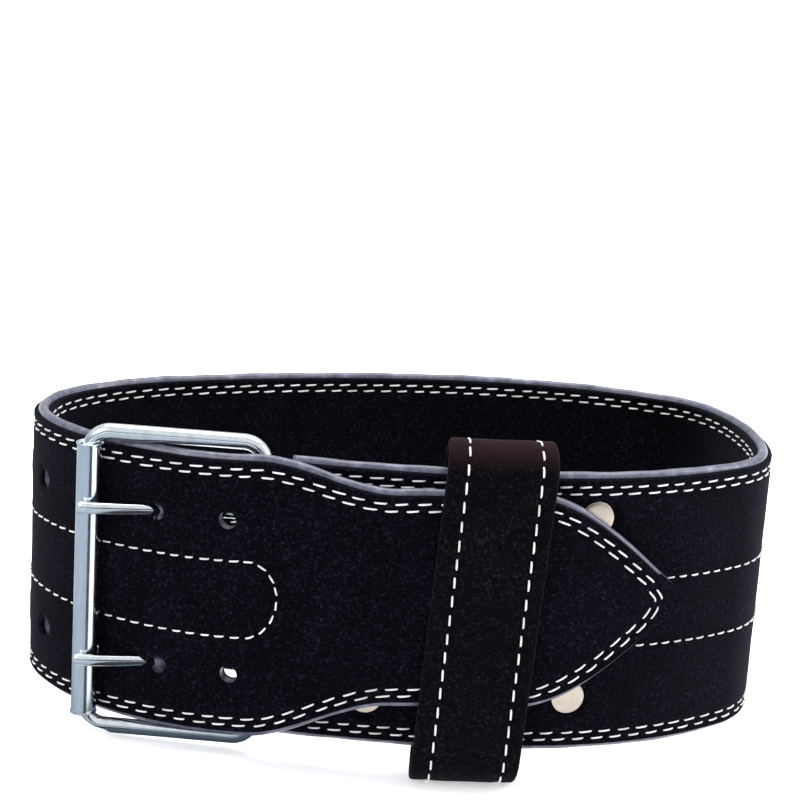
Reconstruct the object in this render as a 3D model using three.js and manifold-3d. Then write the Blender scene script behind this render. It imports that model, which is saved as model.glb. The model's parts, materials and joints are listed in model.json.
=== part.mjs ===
// A weightlifting belt of black suede, buckled into a closed loop that stands on its edge.
// Millimetres, +Z up, the buckle faces -Y. The origin is under the middle of the loop, on the floor.
// The strap lies on a plan curve. A place on it is given as s, along the curve from the hinge bar
// towards +X and round; o, outwards from the curve; and z, up from the strap's lower edge.
import * as THREE from "three";
import { mergeVertices } from "three/addons/utils/BufferGeometryUtils.js";
import Module from "manifold-3d";

const wasm = await Module();
wasm.setup();

// Strap: outer suede, leather core and suede lining, glued and sewn
const STRAP_WIDTH = 101.6;
const SUEDE = 1.4;
const CORE = 3.7;
const LINING = 1.3;
const GAP = 0.3;
const RIM_BEVEL = 0.6;
const STRAP_THICKNESS = SUEDE + CORE + LINING + 2 * GAP;

// Plan curve: an oval of two side arcs and two long arcs, along the middle of the strap
const LOOP_HALF_WIDTH = 136.1;
const LOOP_HALF_DEPTH = 76.9;
const SIDE_RADIUS = 58.7;
const FRONT_SHIFT = 29.7;
const PLAN_SAMPLES = 1440;
const HINGE_X = -54;

// Tongue: the end that laps over the strap, from the hinge bar on
const TONGUE_LENGTH = 150;
const TONGUE_WIDTH = 77.6;
const SHOULDER_START = 0;
const SHOULDER_LENGTH = 48;
const POINT_LENGTH = 60;
const POINT_FULLNESS = 1.1;
const TIP_RADIUS = 6;
const TIP_SLOPE = 0.75;
const TONGUE_RISE = 7;
const RISE_START = -30;
const RISE_LENGTH = 110;
const LAP_GAP = 1.1;
const LAP_RISE_LENGTH = 120;
const LAP_SETTLE_LENGTH = 25;

// Prong holes, in two rows
const HOLE_DIAMETER = 6.5;
const HOLE_PITCH = 26;
const HOLE_COUNT = 6;
const HOLE_ROW_HEIGHT = 28;
const HOLE_ROW_STAGGER = 2.6;

// Buckle frame of round wire, its roller and its two prongs
const WIRE_DIAMETER = 5.6;
const FRAME_LENGTH = 61.5;
const FRAME_SIDE_GAP = 0.8;
const FRAME_CORNER_RADIUS = 7.5;
const ROLLER_DIAMETER = 8.9;
const ROLLER_WALL = 0.7;
const ROLLER_LENGTH = 100;
const ROLLER_LIP = 0.4;
const PRONG_WALL = 1.8;
const PRONG_ROOT_HEIGHT = 3.4;
const PRONG_TIP_HEIGHT = 4.4;
const PRONG_THICKNESS = 3.2;
const PRONG_OVERHANG = 2.8;
const PRONG_HOLE_PLACE = 35;
const PRONG_BEND_PLACE = 19.6;
const PRONG_BEHIND = 0.5;
const PRONG_TIP_DROP = 0.3;

// Leather fold that holds the hinge bar, with its tails between suede and lining
const FOLD_LEATHER = 1.6;
const FOLD_TAIL = 120;
const FOLD_WIDTH = 88;
const FOLD_PINCH = 10;
const FOLD_SLOT_LENGTH = 8;

// Keeper loop
const KEEPER_PLACE = 78;
const KEEPER_WIDTH = 36;
const KEEPER_LEATHER = 3.2;
const KEEPER_EASE = 0.5;
const KEEPER_TOP_SLACK = 0.7;
const KEEPER_BOTTOM_SLACK = -0.5;
const KEEPER_LEAN_DEG = 2.9;

// Rivets through the strap and both tails of the fold
const RIVET_HEAD_RADIUS = 6;
const RIVET_HEAD = 1.3;
const RIVET_SHANK_RADIUS = 1.8;
const RIVET_SINK = 0.8;
const RIVET_ROW_HEIGHT = 33;
const RIVET_NEAR_PLACE = 40;
const RIVET_FAR_PLACE = 113.7;
const RIVET_FAR_LEAN = 2.6;
const RIVET_FAR_RISE = 2.4;
const RIVET_DOME_SHARE = 0.8;
const RIVET_DOME_DROP = 0.2;

// Weight in grams per cubic millimetre, for the way the belt rests
const STEEL_DENSITY = 0.0078;
const LEATHER_DENSITY = 0.0009;

// Facets
const STATION_STEP = 14;
const STATION_TURN_DEG = 7.5;
const WIRE_SIDES = 12;
const BEND_STEPS = 5;
const ROUND_SIDES = 24;
const HOLE_SIDES = 10;
const RIVET_SIDES = 16;
const KEEPER_BEND_STEPS = 8;
const SHANK_STEPS = 12;
const SHANK_SIDES = 10;
const RING_SIDES = 20;
const FOLD_BEND_STEPS = 10;
const SHOULDER_STEPS = 8;
const POINT_STEP_SHARE = 0.28;
const TIP_STEP_SHARE = 0.16;
const LAST_STEP_STRETCH = 1.3;
const SHORTEST_STEP = 1;
const SEARCH_STEP = 0.02;
const SEARCH_REACH = 1.4;

const HALF_STRAP = STRAP_THICKNESS / 2;
const CORE_MIDDLE = (LINING - SUEDE) / 2;
const MID_Z = STRAP_WIDTH / 2;
const WIRE_RADIUS = WIRE_DIAMETER / 2;
const ROLLER_RADIUS = ROLLER_DIAMETER / 2;
const RING_OUTER = WIRE_RADIUS + GAP + PRONG_WALL;
const FOLD_OUTER = WIRE_RADIUS + GAP + FOLD_LEATHER;
const LAP = STRAP_THICKNESS + LAP_GAP;
const HINGE_LIFT = Math.max(RING_OUTER, FOLD_OUTER) + GAP + HALF_STRAP;

const smooth = (t) => {
  const u = Math.min(Math.max(t, 0), 1);
  return u * u * (3 - 2 * u);
};

// Plan curve

// Corner points of the oval's arcs are found from its half sizes and the side radius.
function ovalPoints() {
  const sideCentre = LOOP_HALF_WIDTH - SIDE_RADIUS;
  const longRadius =
    (sideCentre ** 2 + LOOP_HALF_DEPTH ** 2 - SIDE_RADIUS ** 2) / (2 * (LOOP_HALF_DEPTH - SIDE_RADIUS));
  const longCentre = longRadius - LOOP_HALF_DEPTH;
  const meet = Math.atan2(sideCentre, longCentre);
  const points = [];
  for (let i = 0; i < PLAN_SAMPLES; i++) {
    const turn = (i / PLAN_SAMPLES) * 2 * Math.PI;
    const fold = Math.asin(Math.abs(Math.sin(turn)));
    const x = fold < meet ? longRadius * Math.sin(fold) : sideCentre + SIDE_RADIUS * Math.sin(fold);
    const y = fold < meet ? longRadius * Math.cos(fold) - longCentre : SIDE_RADIUS * Math.cos(fold);
    const signX = Math.sin(turn) < 0 ? -1 : 1;
    const signY = Math.cos(turn) < 0 ? 1 : -1;
    points.push([signX * x + FRONT_SHIFT * (y / LOOP_HALF_DEPTH) ** 2, signY * y]);
  }
  return points;
}

const oval = ovalPoints();
const ovalLengths = [0];
for (let i = 0; i < oval.length; i++) {
  const [a, b] = [oval[i], oval[(i + 1) % oval.length]];
  ovalLengths.push(ovalLengths[i] + Math.hypot(b[0] - a[0], b[1] - a[1]));
}
const LOOP_LENGTH = ovalLengths[oval.length];

function ovalAt(distance) {
  const d = ((distance % LOOP_LENGTH) + LOOP_LENGTH) % LOOP_LENGTH;
  let low = 0;
  let high = oval.length;
  while (high - low > 1) {
    const middle = (low + high) >> 1;
    if (ovalLengths[middle] <= d) low = middle;
    else high = middle;
  }
  const t = (d - ovalLengths[low]) / (ovalLengths[low + 1] - ovalLengths[low]);
  const [a, b] = [oval[low], oval[(low + 1) % oval.length]];
  return [a[0] + t * (b[0] - a[0]), a[1] + t * (b[1] - a[1])];
}

// The hinge bar is where the front of the oval reaches HINGE_X.
function hingeDistance() {
  for (let i = oval.length - 1; i > 0; i--) {
    if (oval[i][1] < 0 && oval[i][0] <= HINGE_X) return ovalLengths[i];
  }
  return 0;
}

const HINGE_AT = hingeDistance();
const SLOPE_REACH = 3;

// A plan place: its point and its outward unit normal.
function planAt(s) {
  const [x, y] = ovalAt(HINGE_AT + s);
  const before = ovalAt(HINGE_AT + s - SLOPE_REACH);
  const after = ovalAt(HINGE_AT + s + SLOPE_REACH);
  const length = Math.hypot(after[0] - before[0], after[1] - before[1]);
  return { x, y, nx: (after[1] - before[1]) / length, ny: (before[0] - after[0]) / length };
}

function place(s, o, z) {
  const p = planAt(s);
  return [p.x + o * p.nx, p.y + o * p.ny, z];
}

// How far the strap's middle lies outside the plan curve: nothing on the first round, then it
// climbs behind the roller, over the hinge bar and on to the first round.
function lift(s) {
  const lap = s - LOOP_LENGTH;
  if (lap < 0) return HINGE_LIFT * smooth(1 + lap / LAP_RISE_LENGTH);
  return HINGE_LIFT + (LAP - HINGE_LIFT) * smooth(lap / LAP_SETTLE_LENGTH);
}

// Half the strap's width: full, then narrowed by the shoulder, then drawn in to the point.
function halfWidth(s) {
  const lap = s - LOOP_LENGTH;
  const full = STRAP_WIDTH / 2;
  const narrow = TONGUE_WIDTH / 2;
  const waist = full + (narrow - full) * smooth((lap - SHOULDER_START) / SHOULDER_LENGTH);
  const left = TONGUE_LENGTH - lap;
  if (left >= POINT_LENGTH) return waist;
  const arch = narrow * Math.sin((Math.PI / 2) * (left / POINT_LENGTH) ** POINT_FULLNESS);
  const tip = Math.sqrt(Math.max(TIP_RADIUS ** 2 - Math.max(TIP_RADIUS - left, 0) ** 2, 0));
  return Math.min(arch, tip + left * TIP_SLOPE);
}

// How far the tongue's middle lies above the strap's: it is cut a little upwards.
function rise(s) {
  return TONGUE_RISE * smooth((s - LOOP_LENGTH - RISE_START) / RISE_LENGTH);
}

// Meshes

// A closed mesh through rings of points, each ring as long as the next. An open row is capped.
function loft(rings, closed = false) {
  const count = rings[0].length;
  const faces = [];
  const last = closed ? rings.length : rings.length - 1;
  for (let r = 0; r < last; r++) {
    const a = r * count;
    const b = ((r + 1) % rings.length) * count;
    for (let i = 0; i < count; i++) {
      const j = (i + 1) % count;
      faces.push(a + i, a + j, b + j, a + i, b + j, b + i);
    }
  }
  if (!closed) {
    const end = (rings.length - 1) * count;
    for (let i = 1; i < count - 1; i++) {
      faces.push(0, i + 1, i, end, end + i, end + i + 1);
    }
  }
  const geometry = new THREE.BufferGeometry();
  geometry.setAttribute("position", new THREE.Float32BufferAttribute(rings.flat(2), 3));
  geometry.setIndex(faces);
  return outward(geometry);
}

// Turns the faces round where they point inwards.
function outward(geometry) {
  const p = geometry.getAttribute("position");
  const index = geometry.index.array;
  const [a, b, c] = [new THREE.Vector3(), new THREE.Vector3(), new THREE.Vector3()];
  let volume = 0;
  for (let i = 0; i < index.length; i += 3) {
    a.fromBufferAttribute(p, index[i]);
    b.fromBufferAttribute(p, index[i + 1]);
    c.fromBufferAttribute(p, index[i + 2]);
    volume += a.dot(b.cross(c));
  }
  if (volume < 0) {
    for (let i = 0; i < index.length; i += 3) {
      [index[i + 1], index[i + 2]] = [index[i + 2], index[i + 1]];
    }
  }
  return geometry;
}

function solid(geometry) {
  const bare = geometry.clone();
  bare.deleteAttribute("normal");
  bare.deleteAttribute("uv");
  const merged = mergeVertices(bare);
  return new wasm.Manifold(
    new wasm.Mesh({
      numProp: 3,
      vertProperties: new Float32Array(merged.getAttribute("position").array),
      triVerts: new Uint32Array(merged.index.array),
    }),
  );
}

function geometryOf(manifold) {
  const mesh = manifold.getMesh();
  const geometry = new THREE.BufferGeometry();
  geometry.setAttribute("position", new THREE.BufferAttribute(mesh.vertProperties, 3));
  geometry.setIndex(new THREE.BufferAttribute(mesh.triVerts, 1));
  return geometry;
}

function joined(geometries) {
  return geometries.map(solid).reduce((all, one) => all.add(one));
}

function named(name, geometry, material) {
  const mesh = new THREE.Mesh(geometry, material);
  mesh.name = name;
  return mesh;
}

// A round bar along the outward direction at a place on the strap.
function radialBar(s, z, from, to, radius, sides) {
  const bar = new THREE.CylinderGeometry(radius, radius, to - from, sides);
  bar.translate(0, (from + to) / 2, 0);
  return bar.applyMatrix4(radialFrame(s, z));
}

// Y points outwards, Z up, at the plan curve.
function radialFrame(s, z) {
  const p = planAt(s);
  const out = new THREE.Vector3(p.nx, p.ny, 0);
  const up = new THREE.Vector3(0, 0, 1);
  const side = new THREE.Vector3().crossVectors(out, up);
  return new THREE.Matrix4().makeBasis(side, out, up).setPosition(p.x, p.y, z);
}

// Buckle frame of reference: X from the hinge bar to the roller, Y outwards, Z up

const hinge = place(0, 0, 0);

// The roller lies on the strap where the frame's length, measured from the hinge bar, reaches it.
function rollerPlace() {
  let s = LOOP_LENGTH;
  let axis = hinge;
  while (Math.hypot(axis[0] - hinge[0], axis[1] - hinge[1]) < FRAME_LENGTH) {
    s -= SEARCH_STEP;
    axis = place(s, lift(s) + HALF_STRAP + GAP + ROLLER_RADIUS + ROLLER_LIP, 0);
  }
  return axis;
}

const rollerAxis = rollerPlace();
const buckleTurn = Math.atan2(rollerAxis[1] - hinge[1], rollerAxis[0] - hinge[0]);
const buckleFrame = new THREE.Matrix4()
  .makeRotationZ(buckleTurn)
  .setPosition(hinge[0], hinge[1], MID_Z);
const worldToBuckle = buckleFrame.clone().invert();

// The strap's middle, seen from the hinge bar along the frame.
function strapInBuckle(along) {
  let best = null;
  for (let s = LOOP_LENGTH - SEARCH_REACH * FRAME_LENGTH; s < LOOP_LENGTH; s += SEARCH_STEP) {
    const p = new THREE.Vector3(...place(s, lift(s), 0)).applyMatrix4(worldToBuckle);
    if (!best || Math.abs(p.x - along) < Math.abs(best.x - along)) best = { x: p.x, y: p.y, s };
  }
  return best;
}

function buckleFrameGeometry() {
  const halfHeight = STRAP_WIDTH / 2 + FRAME_SIDE_GAP + WIRE_RADIUS;
  const corners = [
    { x: FRAME_LENGTH, z: -halfHeight, from: -Math.PI / 2 },
    { x: FRAME_LENGTH, z: halfHeight, from: 0 },
    { x: 0, z: halfHeight, from: Math.PI / 2 },
    { x: 0, z: -halfHeight, from: Math.PI },
  ];
  const rings = [];
  for (const corner of corners) {
    const cx = corner.x + (corner.x > 0 ? -FRAME_CORNER_RADIUS : FRAME_CORNER_RADIUS);
    const cz = corner.z + (corner.z > 0 ? -FRAME_CORNER_RADIUS : FRAME_CORNER_RADIUS);
    for (let i = 0; i <= BEND_STEPS; i++) {
      const turn = corner.from + (i / BEND_STEPS) * (Math.PI / 2);
      rings.push(wireRing(cx, cz, turn));
    }
  }
  return loft(rings, true);
}

// A section of the wire on its bend, at an angle round the bend's centre.
function wireRing(cx, cz, turn) {
  const ring = [];
  for (let i = 0; i < WIRE_SIDES; i++) {
    const around = (i / WIRE_SIDES) * 2 * Math.PI;
    const radius = FRAME_CORNER_RADIUS + WIRE_RADIUS * Math.cos(around);
    ring.push([cx + radius * Math.cos(turn), WIRE_RADIUS * Math.sin(around), cz + radius * Math.sin(turn)]);
  }
  return ring;
}

function rollerGeometry() {
  const half = ROLLER_LENGTH / 2;
  const inner = ROLLER_RADIUS - ROLLER_WALL;
  const profile = [
    [inner, half - 2 * ROLLER_LIP],
    [inner + ROLLER_LIP, half],
    [ROLLER_RADIUS + ROLLER_LIP, half],
    [ROLLER_RADIUS, half - 2 * ROLLER_LIP],
    [ROLLER_RADIUS, 2 * ROLLER_LIP - half],
    [ROLLER_RADIUS + ROLLER_LIP, -half],
    [inner + ROLLER_LIP, -half],
    [inner, 2 * ROLLER_LIP - half],
  ];
  const rings = [];
  for (let i = 0; i < ROUND_SIDES; i++) {
    const turn = (i / ROUND_SIDES) * 2 * Math.PI;
    rings.push(profile.map(([r, z]) => [FRAME_LENGTH + r * Math.cos(turn), r * Math.sin(turn), z]));
  }
  return loft(rings, true);
}

// Points of a prong's middle line: behind the strap, through its hole and over the roller.
function prongLine() {
  const crossing = strapInBuckle(PRONG_HOLE_PLACE);
  const over = ROLLER_RADIUS + ROLLER_LIP + GAP + PRONG_THICKNESS / 2;
  return new THREE.CatmullRomCurve3([
    new THREE.Vector3(WIRE_RADIUS + GAP + PRONG_WALL / 2, -PRONG_BEHIND, 0),
    new THREE.Vector3(PRONG_BEND_PLACE, -PRONG_BEHIND, 0),
    new THREE.Vector3(PRONG_HOLE_PLACE, crossing.y, 0),
    new THREE.Vector3(FRAME_LENGTH, over, 0),
    new THREE.Vector3(FRAME_LENGTH + PRONG_OVERHANG, over - PRONG_TIP_DROP, 0),
  ]);
}

// A prong's shank as a loft, grown by a clearance where it cuts its way through the strap.
function shankGeometry(clearance) {
  const line = prongLine();
  const rings = [];
  for (let i = 0; i <= SHANK_STEPS; i++) {
    const t = i / SHANK_STEPS;
    const p = line.getPointAt(t);
    const along = line.getTangentAt(t);
    const full = PRONG_ROOT_HEIGHT + (PRONG_TIP_HEIGHT - PRONG_ROOT_HEIGHT) * smooth(t);
    const height = full / 2 + clearance;
    const thick = PRONG_THICKNESS / 2 + clearance;
    const ring = [];
    for (let k = 0; k < SHANK_SIDES; k++) {
      const around = (k / SHANK_SIDES) * 2 * Math.PI;
      const side = thick * Math.sin(around);
      ring.push([p.x - along.y * side, p.y + along.x * side, height * Math.cos(around)]);
    }
    rings.push(ring);
  }
  return loft(rings);
}

function ringGeometry() {
  const profile = [
    [WIRE_RADIUS + GAP, -PRONG_ROOT_HEIGHT / 2],
    [RING_OUTER, -PRONG_ROOT_HEIGHT / 2],
    [RING_OUTER, PRONG_ROOT_HEIGHT / 2],
    [WIRE_RADIUS + GAP, PRONG_ROOT_HEIGHT / 2],
  ];
  const rings = [];
  for (let i = 0; i < RING_SIDES; i++) {
    const turn = (i / RING_SIDES) * 2 * Math.PI;
    rings.push(profile.map(([r, z]) => [r * Math.cos(turn), r * Math.sin(turn), z]));
  }
  return loft(rings, true);
}

// Strap layers

// Stations along the strap: close where it turns, further apart where it is nearly straight.
function stations(from, to) {
  const list = [from];
  const marks = [
    LOOP_LENGTH + SHOULDER_START,
    LOOP_LENGTH + SHOULDER_START + SHOULDER_LENGTH,
    LOOP_LENGTH + TONGUE_LENGTH - POINT_LENGTH,
  ];
  let s = from;
  while (s < to) {
    const here = planAt(s);
    const ahead = planAt(s + STATION_STEP);
    const turn = Math.acos(Math.min(here.nx * ahead.nx + here.ny * ahead.ny, 1));
    const share = turn > 0 ? THREE.MathUtils.degToRad(STATION_TURN_DEG) / turn : 1;
    let step = STATION_STEP * Math.min(1, share);
    const lap = s - LOOP_LENGTH;
    const inShoulder = lap > SHOULDER_START - SHORTEST_STEP && lap < SHOULDER_START + SHOULDER_LENGTH;
    if (inShoulder) step = Math.min(step, SHOULDER_LENGTH / SHOULDER_STEPS);
    const left = to - s;
    if (lap > 0 && left <= POINT_LENGTH) {
      step = Math.min(step, Math.max(left * POINT_STEP_SHARE, TIP_RADIUS * TIP_STEP_SHARE));
    }
    const mark = marks.find((m) => m > s && m < s + step * LAST_STEP_STRETCH);
    s = mark ?? s + step;
    list.push(Math.min(s, to));
  }
  return list;
}

// A layer from one depth to another, measured outwards from the strap's middle, with its rim
// bevelled on the side that shows.
function layerGeometry(places, inner, outer, bevelOut, bevelIn) {
  const rings = places.map((s) => {
    const half = halfWidth(s);
    const bevel = Math.min(RIM_BEVEL, half / 2);
    const middle = lift(s);
    const height = MID_Z + rise(s);
    const points = [];
    if (bevelIn) points.push([inner, bevel - half], [inner + bevel, -half]);
    else points.push([inner, -half]);
    if (bevelOut) {
      points.push([outer - bevel, -half], [outer, bevel - half]);
      points.push([outer, half - bevel], [outer - bevel, half]);
    } else points.push([outer, -half], [outer, half]);
    if (bevelIn) points.push([inner + bevel, half], [inner, half - bevel]);
    else points.push([inner, half]);
    return points.map(([o, z]) => place(s, middle + o, height + z));
  });
  return loft(rings);
}

const FAR_ROWS_MIDDLE = MID_Z + RIVET_FAR_RISE;
const rivets = [
  { name: "rivet_near_upper", s: RIVET_NEAR_PLACE, z: MID_Z + RIVET_ROW_HEIGHT },
  { name: "rivet_near_lower", s: RIVET_NEAR_PLACE, z: MID_Z - RIVET_ROW_HEIGHT },
  { name: "rivet_far_upper", s: RIVET_FAR_PLACE + RIVET_FAR_LEAN, z: FAR_ROWS_MIDDLE + RIVET_ROW_HEIGHT },
  { name: "rivet_far_lower", s: RIVET_FAR_PLACE - RIVET_FAR_LEAN, z: FAR_ROWS_MIDDLE - RIVET_ROW_HEIGHT },
];

// Everything that is punched out of the strap: prong holes, rivet holes and the rivets' seats.
function strapCuts() {
  const cuts = [];
  const crossing = strapInBuckle(PRONG_HOLE_PLACE).s;
  for (let i = 0; i < HOLE_COUNT; i++) {
    for (const row of [-1, 1]) {
      const s = crossing + HOLE_PITCH - i * HOLE_PITCH - (row * HOLE_ROW_STAGGER) / 2;
      const middle = lift(s);
      const reach = HALF_STRAP + GAP;
      const z = MID_Z + rise(s) + row * HOLE_ROW_HEIGHT;
      cuts.push(radialBar(s, z, middle - reach, middle + reach, HOLE_DIAMETER / 2, HOLE_SIDES));
    }
  }
  for (const row of [-1, 1]) {
    const way = shankGeometry(GAP).translate(0, 0, row * HOLE_ROW_HEIGHT).applyMatrix4(buckleFrame);
    cuts.push(way);
  }
  for (const rivet of rivets) {
    const seat = HALF_STRAP - RIVET_SINK;
    const wide = RIVET_HEAD_RADIUS + GAP;
    const end = HALF_STRAP + GAP;
    cuts.push(radialBar(rivet.s, rivet.z, -end, end, RIVET_SHANK_RADIUS + GAP, HOLE_SIDES));
    cuts.push(radialBar(rivet.s, rivet.z, seat, end, wide, RIVET_SIDES));
    cuts.push(radialBar(rivet.s, rivet.z, -end, -seat, wide, RIVET_SIDES));
  }
  return joined(cuts);
}

function rivetGeometry(rivet) {
  const seat = HALF_STRAP - RIVET_SINK + GAP;
  const crown = seat + RIVET_HEAD;
  const profile = [
    [0, -crown],
    [RIVET_HEAD_RADIUS * RIVET_DOME_SHARE, RIVET_DOME_DROP - crown],
    [RIVET_HEAD_RADIUS, -seat],
    [RIVET_SHANK_RADIUS, -seat],
    [RIVET_SHANK_RADIUS, seat],
    [RIVET_HEAD_RADIUS, seat],
    [RIVET_HEAD_RADIUS * RIVET_DOME_SHARE, crown - RIVET_DOME_DROP],
    [0, crown],
  ].map(([r, y]) => new THREE.Vector2(r, y));
  return new THREE.LatheGeometry(profile, RIVET_SIDES).applyMatrix4(radialFrame(rivet.s, rivet.z));
}

// The fold: one tail, round the hinge bar, and the other tail.
function foldGeometry() {
  const half = FOLD_LEATHER / 2;
  const middle = FOLD_OUTER - half;
  const tail = CORE / 2 - half;
  const reach = Math.hypot(FOLD_PINCH, tail);
  const tangent = Math.acos(middle / reach) + Math.atan2(tail, FOLD_PINCH);
  const line = [];
  for (let s = FOLD_TAIL; s > FOLD_PINCH + SHORTEST_STEP; s -= STATION_STEP) {
    line.push({ s, o: tail, a: Math.PI / 2 });
  }
  line.push({ s: FOLD_PINCH, o: tail, a: Math.PI / 2 });
  const upper = line.length;
  for (let i = 0; i <= FOLD_BEND_STEPS; i++) {
    const a = tangent + (i / FOLD_BEND_STEPS) * (2 * Math.PI - 2 * tangent);
    line.push({ s: middle * Math.cos(a), o: middle * Math.sin(a), a });
  }
  for (let i = upper - 1; i >= 0; i--) line.push({ s: line[i].s, o: -line[i].o, a: -line[i].a });
  const rings = line.map(({ s, o, a }) => {
    const across = [half * Math.cos(a), half * Math.sin(a)];
    return [-1, 1].flatMap((side) =>
      [side, -side].map((end) =>
        place(s + side * across[0], o + side * across[1], MID_Z + (end * FOLD_WIDTH) / 2),
      ),
    );
  });
  const cuts = [];
  for (const row of [-1, 1]) {
    const slot = new THREE.BoxGeometry(
      FOLD_SLOT_LENGTH + RING_OUTER + GAP,
      2 * (FOLD_OUTER + GAP),
      PRONG_ROOT_HEIGHT + 2 * GAP,
    );
    slot.translate((RING_OUTER + GAP - FOLD_SLOT_LENGTH) / 2, 0, row * HOLE_ROW_HEIGHT);
    cuts.push(slot.applyMatrix4(buckleFrame));
  }
  for (const rivet of rivets) {
    cuts.push(radialBar(rivet.s, rivet.z, -CORE, CORE, RIVET_SHANK_RADIUS + GAP, HOLE_SIDES));
  }
  return geometryOf(solid(loft(rings)).subtract(joined(cuts)));
}

const KEEPER_MIDDLE = LAP / 2;
const KEEPER_BEND_RADIUS = LAP / 2 + HALF_STRAP + KEEPER_EASE;
const keeperLean = Math.tan(THREE.MathUtils.degToRad(KEEPER_LEAN_DEG));

// The keeper: a flat loop of leather round both layers of strap, with round bends past their edges.
function keeperGeometry() {
  const top = STRAP_WIDTH + KEEPER_TOP_SLACK;
  const bottom = -KEEPER_BOTTOM_SLACK;
  const spread = [-0.5, 0, 0.5].map((share) => share * KEEPER_WIDTH);
  const rings = [];
  for (const end of [top, bottom]) {
    for (let i = 0; i <= KEEPER_BEND_STEPS; i++) {
      const turn = (end === top ? 0 : Math.PI) + (i / KEEPER_BEND_STEPS) * Math.PI;
      const section = [];
      for (const [radius, row] of [
        [KEEPER_BEND_RADIUS, spread],
        [KEEPER_BEND_RADIUS + KEEPER_LEATHER, [...spread].reverse()],
      ]) {
        const o = KEEPER_MIDDLE + radius * Math.cos(turn);
        const z = end + radius * Math.sin(turn);
        for (const along of row) section.push(place(KEEPER_PLACE + along + (z - MID_Z) * keeperLean, o, z));
      }
      rings.push(section);
    }
  }
  return loft(rings, true);
}

// Materials

const suede = () => new THREE.MeshStandardMaterial({ color: 0x14131a, roughness: 0.95, metalness: 0 });
const leather = () => new THREE.MeshStandardMaterial({ color: 0x4a4a5a, roughness: 0.45, metalness: 0 });
const nickel = () => new THREE.MeshStandardMaterial({ color: 0xd8dadc, roughness: 0.18, metalness: 1 });
const zinc = () => new THREE.MeshStandardMaterial({ color: 0xb4c0cc, roughness: 0.35, metalness: 1 });

// Assembly

const STRAP_START = FOLD_PINCH;
const STRAP_END = LOOP_LENGTH + TONGUE_LENGTH;

// The bay in the core that holds the fold's tails.
function foldBay() {
  const half = FOLD_WIDTH / 2 + GAP;
  const depth = CORE / 2 + GAP;
  const rings = stations(STRAP_START - GAP, FOLD_TAIL + GAP).map((s) =>
    [
      [-depth, -half],
      [depth, -half],
      [depth, half],
      [-depth, half],
    ].map(([o, z]) => place(s, CORE_MIDDLE + o, MID_Z + z)),
  );
  return solid(loft(rings));
}

function strapParts() {
  const cuts = strapCuts();
  const places = stations(STRAP_START, STRAP_END);
  const skinUnder = HALF_STRAP - SUEDE;
  const coreFrom = CORE_MIDDLE - CORE / 2;
  const coreTo = CORE_MIDDLE + CORE / 2;
  const liningOver = LINING - HALF_STRAP;
  const outer = solid(layerGeometry(places, skinUnder, HALF_STRAP, true, false)).subtract(cuts);
  const wholeCore = solid(layerGeometry(places, coreFrom, coreTo, false, false));
  const core = wholeCore.subtract(cuts).subtract(foldBay());
  const lining = solid(layerGeometry(places, -HALF_STRAP, liningOver, false, true)).subtract(cuts);
  return [
    named("strap_outer_suede", geometryOf(outer), suede()),
    named("strap_core", geometryOf(core), leather()),
    named("strap_lining", geometryOf(lining), suede()),
  ];
}

function buckleParts() {
  const buckle = new THREE.Group();
  buckle.applyMatrix4(buckleFrame);
  buckle.add(named("buckle_frame", buckleFrameGeometry(), nickel()));
  buckle.add(named("roller", rollerGeometry(), zinc()));
  for (const [name, row] of [
    ["prong_upper", 1],
    ["prong_lower", -1],
  ]) {
    const prong = geometryOf(joined([ringGeometry(), shankGeometry(0)]));
    prong.translate(0, 0, row * HOLE_ROW_HEIGHT);
    buckle.add(named(name, prong, nickel()));
  }
  return buckle;
}

const standing = new THREE.Group();
standing.add(...strapParts());
standing.add(buckleParts());
standing.add(named("hinge_fold", foldGeometry(), leather()));
standing.add(named("keeper", keeperGeometry(), suede()));
for (const rivet of rivets) standing.add(named(rivet.name, rivetGeometry(rivet), nickel()));

// Middle of a group's mass, each mesh weighed by its material.
function massMiddle(group) {
  const sum = new THREE.Vector3();
  let mass = 0;
  group.updateMatrixWorld(true);
  group.traverse((mesh) => {
    if (!mesh.isMesh) return;
    const p = mesh.geometry.getAttribute("position");
    const index = mesh.geometry.index.array;
    const corner = (i) =>
      new THREE.Vector3().fromBufferAttribute(p, index[i]).applyMatrix4(mesh.matrixWorld);
    const density = mesh.material.metalness > 0 ? STEEL_DENSITY : LEATHER_DENSITY;
    for (let i = 0; i < index.length; i += 3) {
      const [a, b, c] = [corner(i), corner(i + 1), corner(i + 2)];
      const share = (density * a.dot(b.clone().cross(c))) / 6;
      sum.addScaledVector(a.add(b).add(c), share / 4);
      mass += share;
    }
  });
  return sum.divideScalar(mass);
}

// Rest: the belt stands on the keeper's lower bend and on the strap's edge at the back, between the
// two stations that lie across the middle of mass from the keeper.
function restNormal(group) {
  const middle = massMiddle(group);
  const footZ = -KEEPER_BOTTOM_SLACK - KEEPER_BEND_RADIUS - KEEPER_LEATHER;
  const footS = KEEPER_PLACE - KEEPER_WIDTH / 2 + (footZ - MID_Z) * keeperLean;
  const foot = new THREE.Vector3(...place(footS, KEEPER_MIDDLE, footZ));
  const edge = stations(STRAP_START, LOOP_LENGTH)
    .map((s) => new THREE.Vector3(...place(s, lift(s) + HALF_STRAP - RIM_BEVEL, 0)))
    .filter((p) => p.y > middle.y);
  const side = (p) => (middle.x - foot.x) * (p.y - foot.y) - (middle.y - foot.y) * (p.x - foot.x);
  const across = edge.findIndex((p, i) => i > 0 && side(p) * side(edge[i - 1]) <= 0);
  const [before, after] = [edge[across - 1].sub(foot), edge[across].sub(foot)];
  const normal = before.cross(after).normalize();
  return normal.z < 0 ? normal.negate() : normal;
}

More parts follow.
